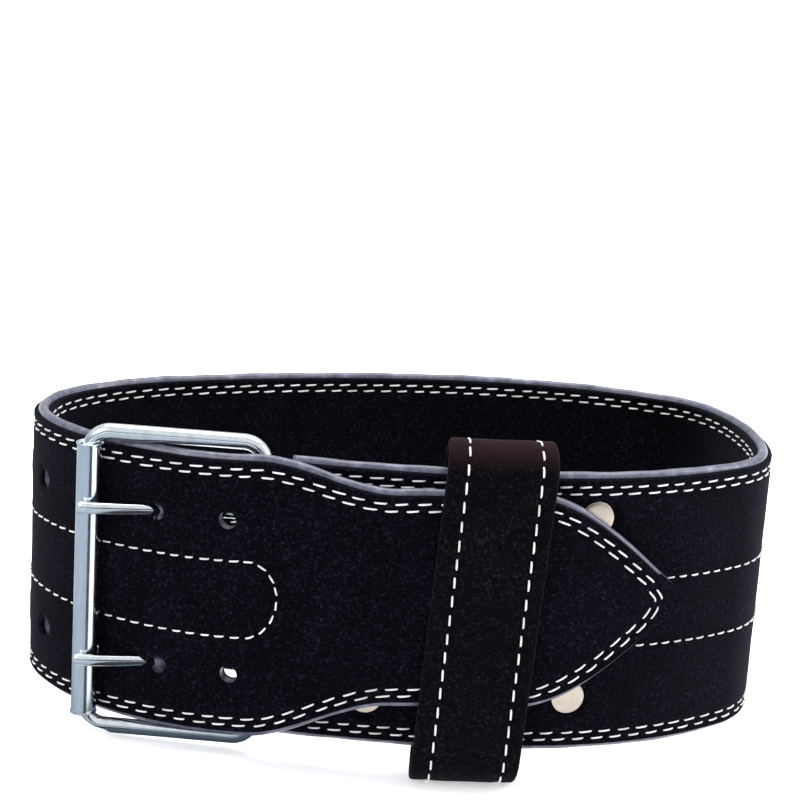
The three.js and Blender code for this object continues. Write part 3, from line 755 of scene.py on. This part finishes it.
def core_material():
    """Dark dyed and burnished edge leather, with streaks along the rim; its lavender-grey lightness is
    painted reflection of the bright studio in the glossy edge.
    """
    material, nodes, links, shader = new_material("edge_leather")
    coords = object_coords(nodes)
    streak = noise(nodes, links, coords, 240, 5, 0.6)
    fine = noise(nodes, links, coords, 1400, 4, 0.6)
    # The lighter lavender-grey stops are painted reflection of the bright studio in the glossy black edge,
    # over the edge's own dark colour
    colour = ramp(nodes, links, streak, [(0.30, (0.040, 0.040, 0.056)), (0.55, (0.10, 0.10, 0.15)),
                                         (0.74, (0.19, 0.19, 0.27))])
    links.new(colour, shader.inputs["Base Color"])
    rough = ramp(nodes, links, fine, [(0.3, (0.24,) * 3), (0.7, (0.46,) * 3)])
    links.new(rough, shader.inputs["Roughness"])
    put(shader, {"Coat Weight": 0.3, "Coat Roughness": 0.25})
    bump(nodes, links, shader, [(fine, 0.0002, 0.35), (streak, 0.0005, 0.3)])
    return material


def smooth_leather_material():
    """Black grain leather with fine creases."""
    material, nodes, links, shader = new_material("fold_leather")
    coords = object_coords(nodes)
    pebble = noise(nodes, links, coords, 1100, 4, 0.6)
    crease = noise(nodes, links, coords, 160, 4, 0.6, 1.0)
    colour = ramp(nodes, links, crease, [(0.3, (0.010, 0.010, 0.012)), (0.7, (0.028, 0.026, 0.03))])
    links.new(colour, shader.inputs["Base Color"])
    put(shader, {"Roughness": 0.5})
    bump(nodes, links, shader, [(pebble, 0.0003, 0.5), (crease, 0.0004, 0.3)])
    return material


def thread_material():
    """Twisted off-white thread, a little soiled."""
    material, nodes, links, shader = new_material("waxed_thread")
    coords = object_coords(nodes)
    twist = noise(nodes, links, coords, 2200, 2, 0.5)
    soil = noise(nodes, links, coords, 90, 4, 0.6)
    colour = ramp(nodes, links, soil, [(0.28, (0.50, 0.46, 0.42)), (0.50, (0.78, 0.76, 0.74)),
                                       (0.70, (0.90, 0.89, 0.88))])
    links.new(colour, shader.inputs["Base Color"])
    put(shader, {"Roughness": 0.6, "Sheen Weight": 0.15})
    bump(nodes, links, shader, [(twist, 0.0002, 0.7)])
    return material


def metal_material(name, tint, low, high, streaks):
    """Plated steel: faint drawn streaks and rubbed patches in its gloss."""
    material, nodes, links, shader = new_material(name)
    coords = object_coords(nodes)
    mapping = nodes.new("ShaderNodeMapping")
    put(mapping, {"Scale": streaks})
    links.new(coords, mapping.inputs["Vector"])
    drawn = noise(nodes, links, mapping.outputs["Vector"], 1.0, 5, 0.6)
    rub = noise(nodes, links, coords, 120, 4, 0.6)
    rough = ramp(nodes, links, rub, [(0.3, (low,) * 3), (0.72, (high,) * 3)])
    links.new(rough, shader.inputs["Roughness"])
    deep = tuple(c * 0.86 for c in tint)
    colour = ramp(nodes, links, drawn, [(0.32, deep), (0.62, tint)])
    links.new(colour, shader.inputs["Base Color"])
    put(shader, {"Metallic": 1.0})
    bump(nodes, links, shader, [(drawn, 0.0001, 0.12)])
    return material


# Strap

def across_places():
    """Distances from the edge to the middle, close together where the rows of stitches lie."""
    edge = np.arange(RIM_ROUND, ROWS_BAND, STEP_EDGE)
    full = STRAP_WIDTH / 2
    inner = np.linspace(ROWS_BAND, full, round((full - ROWS_BAND) / STEP_ACROSS))
    return np.concatenate([edge, inner])


def strap_places():
    """Places of the strap's sections, closer together towards the tongue's tip."""
    body = np.arange(STRAP_START, STRAP_END - POINT_LENGTH, STEP_ALONG)
    point = STRAP_END - POINT_LENGTH * np.linspace(1, 0, POINT_STEPS) ** POINT_CROWDING
    return np.concatenate([body, point[:-1], [STRAP_END - TIP_STOP]])


def layer_ring(s, inner, outer, face):
    """A section of a layer, from the glued side round the rim and across the face that shows."""
    half = float(half_width(s))
    full = STRAP_WIDTH / 2
    insets = across_places()
    if half > ROWS_BAND:
        spread = ROWS_BAND + (insets - ROWS_BAND) * (half - ROWS_BAND) / (full - ROWS_BAND)
        insets = np.where(insets <= ROWS_BAND, insets, spread)
    else:
        insets = insets * half / full
    upper = half - insets
    flat = np.concatenate([upper, -upper[::-1][1:]])
    turn = np.linspace(0, math.pi / 2, RIM_STEPS)[:-1]
    rim_o = outer - face * min(RIM_ROUND, half / 2) * (1 - np.sin(turn))
    low = insets[0] * RIM_LOW / RIM_ROUND
    rim_z = half - low - (insets[0] - low) * (1 - np.cos(turn))
    o = np.concatenate([[inner], rim_o, np.full(len(flat), outer), rim_o[::-1], [inner]])
    z = np.concatenate([[half - low], rim_z, flat, -rim_z[::-1], [low - half]])
    return o, z, len(rim_o) + 1, len(flat)


def skin(name, inner, outer, face, material):
    """The suede skin or the lining."""
    rings = []
    for s in strap_places():
        o, z, first, count = layer_ring(s, inner, outer, face)
        middle = MID_Z + float(rise(s))
        proud = relief(np.full(count, s), z[first:first + count] + middle, face)
        o[first:first + count] += face * proud
        o[1:first] += face * proud[0] * np.linspace(0, 1, first - 1)
        o[first + count:-1] += face * proud[-1] * np.linspace(1, 0, len(o) - 1 - first - count)
        rings.append(place(s, float(lift(s)) + o, z + middle))
    return loft(name, stand(np.array(rings)), False, material)


def core():
    """The core with its burnished, slightly crowned edges."""
    low = CORE_MIDDLE - CORE / 2 - GLUE_LINE
    high = CORE_MIDDLE + CORE / 2 + GLUE_LINE
    rings = []
    across = np.linspace(0, math.pi, CORE_STEPS)
    for s in strap_places():
        half = float(half_width(s))
        crown = min(CORE_CROWN, half / 4)
        rub = sum(height * math.sin(s / long + shift) for height, long, shift in EDGE_WAVES)
        o = (low + high) / 2 + (high - low) / 2 * np.cos(across)
        edge = half - CORE_SINK * crown + (crown + rub) * np.sin(across)
        ring_o = np.concatenate([o, o[::-1]])
        ring_z = np.concatenate([edge, -edge[::-1]])
        rings.append(place(s, float(lift(s)) + ring_o, ring_z + MID_Z + float(rise(s))))
    return loft("core_edge", stand(np.array(rings)), False, core_material())


def strap_cutter():
    """The holes, and the way of each prong through the layers."""
    parts = []
    reach = HALF_STRAP + CUT_REACH
    for s, z in HOLES:
        middle = float(lift(s))
        parts.append((bar(s, z, middle - reach, middle + reach, HOLE_DIAMETER / 2), False))
    for row in (-1, 1):
        rings = shank_rings(GAP, SHANK_CUT_STEPS)[SHANK_CUT_START:-len(PRONG_END_PLACES)]
        parts.append((stand(from_buckle(rings + np.array([0, 0, row * HOLE_ROW_HEIGHT]))), False))
    return cutter(parts)


# Buckle

def blend(first, last, start, end, t):
    """From the first point to the last, as t goes from start to end."""
    return (end - t) / (end - start) * first + (t - start) / (end - start) * last


def smooth_line(points, count):
    """A smooth line through a few points, and the length of the way to each place on it."""
    p = np.asarray(points, float)
    p = np.vstack([2 * p[0] - p[1], p, 2 * p[-1] - p[-2]])
    out = []
    for i in range(1, len(p) - 2):
        p0, p1, p2, p3 = p[i - 1:i + 3]
        t0 = 0
        t1 = t0 + np.linalg.norm(p1 - p0) ** 0.5
        t2 = t1 + np.linalg.norm(p2 - p1) ** 0.5
        t3 = t2 + np.linalg.norm(p3 - p2) ** 0.5
        for t in np.linspace(t1, t2, count, endpoint=False):
            a1 = blend(p0, p1, t0, t1, t)
            a2 = blend(p1, p2, t1, t2, t)
            a3 = blend(p2, p3, t2, t3, t)
            b1 = blend(a1, a2, t0, t2, t)
            b2 = blend(a2, a3, t1, t3, t)
            out.append(blend(b1, b2, t1, t2, t))
    out.append(p[-2])
    line = np.array(out)
    length = np.concatenate([[0], np.cumsum(np.linalg.norm(np.diff(line, axis=0), axis=1))])
    return line, length


def on_line(line, length, at):
    """Points of a line at distances along it."""
    return np.stack([np.interp(at, length, line[:, k]) for k in range(3)], axis=1)


def shank_rings(clearance, steps):
    """Sections of a prong's shank, with a blunt rounded end."""
    over = ROLLER_RADIUS + ROLLER_LIP + GAP + PRONG_THICKNESS / 2
    line, length = smooth_line([
        (WIRE_RADIUS + GAP + PRONG_WALL / 2, -PRONG_BEHIND, 0),
        (PRONG_BEND_PLACE, -PRONG_BEHIND, 0),
        (PRONG_HOLE_PLACE, CROSSING_Y, 0),
        (FRAME_LENGTH, over, 0),
        (FRAME_LENGTH + PRONG_OVERHANG, over - PRONG_TIP_DROP, 0),
    ], SHANK_LINE_STEPS)
    end = PRONG_END_LENGTH / length[-1]
    places = 1 - end * (1 - np.array(PRONG_END_PLACES))
    share = np.concatenate([np.linspace(0, 1 - end, steps), places])
    rounding = np.sqrt(1 - np.array(PRONG_END_CURVE) ** 2 * PRONG_END_BLUNT)
    shrink = np.concatenate([np.ones(steps), rounding])
    at = share * length[-1]
    p = on_line(line, length, at)
    ahead = on_line(line, length, np.clip(at + SHANK_SLOPE_REACH, 0, length[-1]))
    behind = on_line(line, length, np.clip(at - SHANK_SLOPE_REACH, 0, length[-1]))
    along = ahead - behind
    along /= np.linalg.norm(along, axis=1, keepdims=True)
    grown = (PRONG_TIP_HEIGHT - PRONG_ROOT_HEIGHT) * smooth(share)
    height = (PRONG_ROOT_HEIGHT + grown) / 2 + clearance
    thick = PRONG_THICKNESS / 2 + clearance
    around = np.arange(SHANK_SIDES) / SHANK_SIDES * 2 * math.pi
    side = np.stack([-along[:, 1], along[:, 0], np.zeros(len(along))], axis=1)
    ring = thick * np.sin(around)[None, :, None] * side[:, None]
    ring = ring + (height[:, None] * np.cos(around)[None])[..., None] * np.array([0, 0, 1])
    return p[:, None] + ring * shrink[:, None, None]


def turned(profile, sides, x=0, z=0):
    """Sections of a profile of radius and height, turned about an upright line of the buckle."""
    rings = []
    for turn in np.linspace(0, 2 * math.pi, sides, endpoint=False):
        across = x + profile[:, 0] * math.cos(turn)
        out = profile[:, 0] * math.sin(turn)
        rings.append(np.stack([across, out, profile[:, 1] + z], axis=1))
    return stand(from_buckle(np.array(rings)))


def swollen(value):
    """A sine or cosine for a section between a circle and a square."""
    return math.copysign(abs(value) ** PRONG_RING_SQUARENESS, value)


def prong(name, row, material):
    """A prong, with its ring round the hinge bar."""
    rings = shank_rings(0, SHANK_STEPS) + np.array([0, 0, row * HOLE_ROW_HEIGHT])
    piece = loft(name, stand(from_buckle(rings)), False, material)
    inner = WIRE_RADIUS + GAP
    half = PRONG_ROOT_HEIGHT / 2
    middle = (inner + RING_OUTER) / 2
    reach = (RING_OUTER - inner) / 2
    turns = np.linspace(0, 2 * math.pi, PRONG_RING_SECTION, endpoint=False)
    profile = [(middle + reach * swollen(math.cos(a)), half * swollen(math.sin(a))) for a in turns]
    rings = turned(np.array(profile), PRONG_RING_SIDES, z=row * HOLE_ROW_HEIGHT)
    ring = loft(name + "_ring", rings, True, material)
    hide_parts(name)
    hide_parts(name)


def buckle_wire(material):
    """The rectangle of round wire: the hinge bar, the roller's bar and two arms."""
    half = STRAP_WIDTH / 2 + FRAME_SIDE_GAP + WIRE_RADIUS
    around = np.arange(WIRE_SIDES) / WIRE_SIDES * 2 * math.pi
    rings = []
    corners = ((FRAME_LENGTH, -half, -90), (FRAME_LENGTH, half, 0), (0, half, 90), (0, -half, 180))
    for x, z, start in corners:
        cx = x - FRAME_CORNER_RADIUS if x > 0 else x + FRAME_CORNER_RADIUS
        cz = z - math.copysign(FRAME_CORNER_RADIUS, z)
        for turn in np.radians(start + np.linspace(0, 90, BEND_STEPS)):
            radius = FRAME_CORNER_RADIUS + WIRE_RADIUS * np.cos(around)
            rings.append(np.stack([cx + radius * math.cos(turn), WIRE_RADIUS * np.sin(around),
                                   cz + radius * math.sin(turn)], axis=1))
    piece = loft("buckle_wire", stand(from_buckle(np.array(rings))), True, material)
    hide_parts("buckle_frame")


def roller(material):
    """The tube with its rolled lips."""
    half = ROLLER_LENGTH / 2
    inner = ROLLER_RADIUS - ROLLER_WALL
    lip = ROLLER_LIP
    bore = [(0, 3), (0.3, 1.2), (1, 0.25), (1.25, 0)]
    outside = [(0.8, 0), (1, 0.3), (0.75, 1), (0.2, 2.2), (0, 3.4)]
    upper = [(inner + r * lip, half - z * lip) for r, z in bore]
    upper += [(ROLLER_RADIUS + r * lip, half - z * lip) for r, z in outside]
    profile = np.array(upper + [(r, -z) for r, z in reversed(upper)])
    rings = turned(profile, ROLLER_SIDES, x=FRAME_LENGTH)
    piece = loft("roller_tube", rings, True, material, "roller")
    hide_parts("roller")


def rivet(name, s, z, material):
    """Two low domed heads with rolled rims, joined by the shank."""
    seat = HALF_STRAP - RIVET_SINK + GAP - RIVET_SEAT_DROP
    crown = HALF_STRAP - RIVET_SINK + GAP + RIVET_HEAD - RIVET_CROWN_DROP
    arc = [(r, crown) for r in RIVET_MIDDLE_RADII]
    arc += [(RIVET_HEAD_RADIUS * math.sin(t), crown - RIVET_DOME * (1 - math.cos(t)))
            for t in np.linspace(RIVET_ARC_START, math.pi / 2, RIVET_ARC_STEPS)[1:]]
    rim = (RIVET_HEAD_RADIUS + RIVET_RIM_SWELL, seat + RIVET_RIM)
    side = arc + [rim, (RIVET_HEAD_RADIUS - RIVET_RIM_ROUND, seat), (RIVET_SHANK_RADIUS, seat)]
    profile = np.array(side + [(r, -h) for r, h in reversed(side)])
    middle = place(s, 0, z)
    out = place(s, 1, z) - middle
    across = np.array([-out[1], out[0], 0])
    up = np.array([0, 0, 1])
    rings = []
    for turn in np.linspace(0, 2 * math.pi, RIVET_SIDES, endpoint=False):
        radial = math.cos(turn) * across + math.sin(turn) * up
        rings.append(middle + profile[:, :1] * radial + profile[:, 1:] * out)
    piece = loft(name + "_heads", stand(np.array(rings)), True, material)
    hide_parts(name)


# Fold and keeper

def hinge_fold(material):
    """The leather round the hinge bar, with slots for the prongs' rings."""
    half = FOLD_LEATHER / 2
    middle = FOLD_OUTER - half
    tail = CORE / 2 - half
    reach = math.hypot(FOLD_PINCH, tail)
    tangent = math.acos(middle / reach) + math.atan2(tail, FOLD_PINCH)
    shown = [*np.arange(FOLD_PINCH + FOLD_SHOWN, FOLD_PINCH, -FOLD_STEP), FOLD_PINCH]
    outer_tail = [(s, tail, math.pi / 2) for s in shown]
    line = list(outer_tail)
    for a in np.linspace(tangent, 2 * math.pi - tangent, FOLD_TURN_STEPS):
        line.append((middle * math.cos(a), middle * math.sin(a), a))
    line += [(s, -o, -a) for s, o, a in reversed(outer_tail)]
    rings = []
    zs = np.linspace(-FOLD_WIDTH / 2, FOLD_WIDTH / 2, FOLD_ROWS)
    for s, o, a in line:
        ds, do = half * math.cos(a), half * math.sin(a)
        front = place(s + ds, o + do, MID_Z + zs)
        back = place(s - ds, o - do, MID_Z + zs[::-1])
        rings.append(np.vstack([front, back]))
    piece = loft("hinge_leather", stand(np.array(rings)), False, material)
    parts = []
    reach = PRONG_ROOT_HEIGHT / 2 + GAP
    y = FOLD_OUTER + FOLD_SLOT_REACH
    for row in (-1, 1):
        low = row * HOLE_ROW_HEIGHT - reach
        high = row * HOLE_ROW_HEIGHT + reach
        ends = (FOLD_SLOT_LENGTH, -RING_OUTER - GAP)
        box = [[(x, -y, low), (x, y, low), (x, y, high), (x, -y, high)] for x in ends]
        parts.append((stand(from_buckle(np.array(box))), False))
    tool = cutter(parts)
    cut(piece, tool)
    bpy.data.objects.remove(tool)
    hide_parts("hinge_fold")


def keeper_line(radius):
    """The keeper's closed line at a radius from its middle: depth, height and outward direction."""
    line = []
    sides = ((KEEPER_BOTTOM, KEEPER_TOP, 0), (KEEPER_TOP, KEEPER_BOTTOM, math.pi))
    for start, end, begin in sides:
        for z in np.linspace(start, end, KEEPER_SIDE_STEPS)[:-1]:
            line.append((radius * math.cos(begin), z, begin))
        for turn in np.linspace(begin, begin + math.pi, KEEPER_BEND_STEPS)[:-1]:
            line.append((radius * math.cos(turn), end + radius * math.sin(turn), turn))
    return np.array(line)


def keeper_place(along, depth, z):
    """A point of the keeper, which leans a little along the strap."""
    return place(KEEPER_PLACE + along + (z - MID_Z) * KEEPER_LEAN, KEEPER_MIDDLE + depth, z)


def keeper(material):
    """A band of suede leather with soft edges, sewn along both of them."""
    half = KEEPER_WIDTH / 2
    soft = KEEPER_EDGE_ROUND
    bevel = KEEPER_BACK_BEVEL
    turn = np.linspace(0, math.pi / 2, RIM_STEPS)
    edge_along = half - soft + soft * np.sin(turn)
    edge_deep = soft * (1 - np.cos(turn))
    flat = np.linspace(soft - half, half - soft, KEEPER_ACROSS_STEPS)
    section = [(a, 0.0) for a in flat]
    section += [(a, -d) for a, d in zip(edge_along[1:], edge_deep[1:])]
    section += [(half, bevel - KEEPER_LEATHER), (half - bevel, -KEEPER_LEATHER)]
    section += [(bevel - half, -KEEPER_LEATHER), (-half, bevel - KEEPER_LEATHER)]
    section += [(-a, -d) for a, d in zip(edge_along[:0:-1], edge_deep[:0:-1])]
    section = np.array(section)
    face = section[:, 1] > -KEEPER_FACE_DEPTH
    across = section[face, 0]
    height, a_one, k_one, a_two, k_two = KEEPER_WAVE
    line = keeper_line(KEEPER_BEND + KEEPER_LEATHER)
    rings = []
    for k, (depth, z, turn) in enumerate(line):
        deep = section[:, 1].copy()
        for row in KEEPER_ROWS:
            deep[face] -= KEEPER_GROOVE_DEPTH * np.exp(-(((across - row) / KEEPER_GROOVE_WIDTH) ** 2))
        deep[face] += height * np.sin(across / a_one + k / k_one) * np.sin(k / k_two + across / a_two)
        ring_depth = depth + deep * math.cos(turn)
        rings.append(keeper_place(section[:, 0], ring_depth, z + deep * math.sin(turn)))
    piece = loft("keeper_band", stand(np.array(rings)), True, material)
    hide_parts("keeper")


def keeper_stitches():
    """Every stitch of the two rows round the keeper."""
    line = keeper_line(KEEPER_BEND + KEEPER_LEATHER)
    closed = np.vstack([line, line[:1]])
    closed[-1, 2] = 2 * math.pi
    length = np.concatenate([[0], np.cumsum(np.linalg.norm(np.diff(closed[:, :2], axis=0), axis=1))])
    for row in KEEPER_ROWS:
        count = round(length[-1] / KEEPER_PITCH)
        for i in range(count):
            drift = random.normal(0, KEEPER_STITCH_DRIFT)
            start = (i + KEEPER_ROW_START) * length[-1] / count + drift
            long = KEEPER_PITCH * (STITCH_SHARE + random.normal(0, KEEPER_STITCH_SPREAD))
            t = np.mod(np.linspace(start, start + long, STITCH_STEPS), length[-1])
            turn = np.interp(t, length, closed[:, 2])
            depth = np.interp(t, length, closed[:, 0]) - KEEPER_STITCH_SINK * np.cos(turn)
            z = np.interp(t, length, closed[:, 1]) - KEEPER_STITCH_SINK * np.sin(turn)
            points = keeper_place(row, depth, z)
            outs = keeper_place(row, depth + np.cos(turn), z + np.sin(turn)) - points
            outs /= np.linalg.norm(outs, axis=1, keepdims=True)
            yield stitch_rings(points, outs, THREAD_RADIUS * KEEPER_THREAD_SHARE)


# Assembly

def build():
    """Every piece of the belt, on its body and in the place of its node."""
    black = suede_material("suede_nap", *SUEDE_COLOURS)
    inside = suede_material("lining_nap", *LINING_COLOURS)
    band = suede_material("keeper_nap", *KEEPER_COLOURS)
    # Painted sheen on the keeper's top bend
    painted_sheen_top(band, KEEPER_SHEEN_FROM_M, KEEPER_SHEEN_TO_M, KEEPER_SHEEN_COLOUR)
    tool = strap_cutter()
    outer = skin("suede_face", HALF_STRAP - SUEDE - GLUE_LINE, HALF_STRAP, 1, black)
    inner = skin("lining_face", -HALF_STRAP + LINING + GLUE_LINE, -HALF_STRAP, -1, inside)
    middle = core()
    for piece, node in ((outer, "strap_outer_suede"), (inner, "strap_lining"), (middle, "strap_core")):
        cut(piece, tool)
        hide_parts(node)
    bpy.data.objects.remove(tool)
    nickel = metal_material("plated_wire", (0.84, 0.87, 0.90), 0.07, 0.14, (400, 400, 60))
    zinc = metal_material("rolled_tube", (0.70, 0.76, 0.82), 0.14, 0.22, (900, 900, 30))
    studs = metal_material("rivet_heads", (0.44, 0.385, 0.33), 0.22, 0.36, (300, 300, 300))
    buckle_wire(nickel)
    roller(zinc)
    prong("prong_upper", 1, nickel)
    prong("prong_lower", -1, nickel)
    for name, (s, z) in RIVETS.items():
        rivet(name, s, z, studs)
    hinge_fold(smooth_leather_material())
    keeper(band)
    thread = thread_material()
    thread_piece("stitches_outside", strap_stitches(1), thread)
    thread_piece("stitches_inside", strap_stitches(-1), thread)
    thread_piece("stitches_keeper", keeper_stitches(), thread)


# Studio

# The camera's place in millimetres and its angles in radians, in the belt's own frame
CAMERA_PLACE = (-76.2, -667.6, 260.4)
CAMERA_YAW = 0.1102
CAMERA_PITCH = 0.2235
CAMERA_ROLL = 0.0642
CAMERA_FOCUS_PX = 1800.4
CAMERA_CENTRE_ROW_PX = 400.0
IMAGE_PX = 800
SENSOR_MM = 36.0
CARD_NEAR_M = 0.012
CARD_SHORT_M = 0.07
CARD_FAR_M = 1.2
CARD_HEIGHT_M = 0.001
CARD_STEPS = 24
FLOOR_HALF_M = 40.0
FLOOR_GLOW = 0.45
SKY_STRENGTH = 0.9
LIGHTS_TARGET = (0, 0, 0.06)

# Place and size in metres, power in watts, and colour
LIGHTS = {
    "top_light": ((0.1, 0.35, 1.3), (1.6, 1.0), 20, (1, 1, 1)),
    "left_light": ((-1.1, -0.8, 0.9), (0.6, 0.6), 6, (1, 1, 1)),
    "right_light": ((1.2, -0.1, 0.8), (0.6, 0.8), 9, (0.90, 0.93, 1.0)),
}

# Bearings in degrees round the roller, from the front towards +X, and how far each card reaches
CARDS = {
    "grey_card": (-150, 4, CARD_FAR_M, (0.30, 0.34, 0.38)),
    "black_card": (4, 30, CARD_FAR_M, (0.01, 0.01, 0.012)),
    "blue_card": (30, 110, CARD_SHORT_M, (0.10, 0.13, 0.17)),
}


def camera():
    """The photograph's view, given in the belt's own frame."""
    level = math.cos(CAMERA_PITCH)
    ahead, aside = math.cos(CAMERA_YAW), math.sin(CAMERA_YAW)
    forward = np.array([aside * level, ahead * level, -math.sin(CAMERA_PITCH)])
    right = np.array([ahead, -aside, 0])
    up = np.cross(right, forward)
    rolled_right = right * math.cos(CAMERA_ROLL) + up * math.sin(CAMERA_ROLL)
    rolled_up = up * math.cos(CAMERA_ROLL) - right * math.sin(CAMERA_ROLL)
    axes = np.stack([rolled_right, rolled_up, -forward], axis=1)
    data = bpy.data.cameras.new("camera")
    data.sensor_width = SENSOR_MM
    data.lens = CAMERA_FOCUS_PX / IMAGE_PX * SENSOR_MM
    data.shift_y = (CAMERA_CENTRE_ROW_PX - IMAGE_PX / 2) / IMAGE_PX
    seen = bpy.data.objects.new("camera", data)
    bpy.context.scene.collection.objects.link(seen)
    matrix = Matrix((STAND @ axes).tolist()).to_4x4()
    matrix.translation = Vector(stand(np.array(CAMERA_PLACE)))
    seen.matrix_world = matrix
    bpy.context.scene.camera = seen


def area(name, place_m, size, power, colour):
    data = bpy.data.lights.new(name, "AREA")
    data.shape = "RECTANGLE"
    data.size, data.size_y = size
    data.energy = power
    data.color = colour
    light = bpy.data.objects.new(name, data)
    light.location = place_m
    light.rotation_euler = (Vector(LIGHTS_TARGET) - Vector(place_m)).to_track_quat("-Z", "Y").to_euler()
    bpy.context.scene.collection.objects.link(light)


def sky(tree):
    """A bright ceiling over a room of grey, black and white panels, for the metal to mirror."""
    nodes, links = tree.nodes, tree.links
    ways = nodes.new("ShaderNodeSeparateXYZ")
    links.new(nodes.new("ShaderNodeTexCoord").outputs["Generated"], ways.inputs["Vector"])
    bearing = nodes.new("ShaderNodeMath")
    bearing.operation = "ARCTAN2"
    links.new(ways.outputs["X"], bearing.inputs[0])
    front = nodes.new("ShaderNodeMath")
    front.operation = "MULTIPLY"
    front.inputs[1].default_value = -1
    links.new(ways.outputs["Y"], front.inputs[0])
    links.new(front.outputs["Value"], bearing.inputs[1])
    share = nodes.new("ShaderNodeMapRange")
    put(share, {"From Min": -math.pi, "From Max": math.pi})
    links.new(bearing.outputs["Value"], share.inputs["Value"])
    panels = ramp(nodes, links, share.outputs["Result"], [
        (0.00, (0.75, 0.78, 0.82)), (0.22, (0.42, 0.47, 0.52)), (0.47, (0.36, 0.42, 0.47)),
        (0.50, (0.02, 0.02, 0.03)), (0.57, (0.02, 0.02, 0.03)), (0.60, (0.95, 1.0, 1.0)),
        (0.66, (0.9, 0.95, 1.0)), (0.70, (0.40, 0.45, 0.50)), (1.00, (0.75, 0.78, 0.82))])
    whole = between(nodes, links, ways.outputs["Z"], 0.20, 0.42, panels, (0.92, 0.96, 1.0))
    background = nodes["Background"]
    links.new(whole, background.inputs["Color"])
    put(background, {"Strength": SKY_STRENGTH})


def flat_piece(name, points, faces, material):
    """Something flat that belongs to the studio and not to the belt."""
    mesh = bpy.data.meshes.new(name)
    mesh.from_pydata(points, [], faces)
    mesh.materials.append(material)
    plane = bpy.data.objects.new(name, mesh)
    bpy.context.scene.collection.objects.link(plane)
    return plane


def card(name, start_deg, end_deg, far_m, colour):
    """A card on the floor round the buckle, seen only as a reflection in its metal."""
    foot = np.array(SPIN["pos_m"])[:2]
    turns = np.radians(np.linspace(start_deg, end_deg, CARD_STEPS))
    ways = np.stack([np.sin(turns), -np.cos(turns)], axis=1)
    rows = [foot + CARD_NEAR_M * ways, foot + far_m * ways]
    points = [(x, y, CARD_HEIGHT_M) for row in rows for x, y in row]
    count = len(turns)
    faces = [(i, i + 1, count + i + 1, count + i) for i in range(count - 1)]
    material, _, _, shader = new_material(name)
    put(shader, {"Base Color": (*colour, 1), "Roughness": 0.9})
    plane = flat_piece(name, points, faces, material)
    plane.visible_camera = False
    plane.visible_diffuse = False
    plane.visible_shadow = False


def studio():
    """The pale floor, the world, the cards and the lights."""
    half = FLOOR_HALF_M
    corners = [(-half, -half, 0), (half, -half, 0), (half, half, 0), (-half, half, 0)]
    material, _, _, shader = new_material("pale_floor")
    put(shader, {"Base Color": (0.90, 0.90, 0.91, 1), "Roughness": 0.7,
                 "Emission Color": (1, 1, 1, 1), "Emission Strength": FLOOR_GLOW})
    flat_piece("floor", corners, [(0, 1, 2, 3)], material)
    world = bpy.data.worlds.new("studio")
    bpy.context.scene.world = world
    world.use_nodes = True
    sky(world.node_tree)
    for name, values in CARDS.items():
        card(name, *values)
    for name, values in LIGHTS.items():
        area(name, *values)
    bpy.context.scene.view_settings.view_transform = "Standard"
    bpy.context.scene.view_settings.look = "None"


build()
camera()
studio()
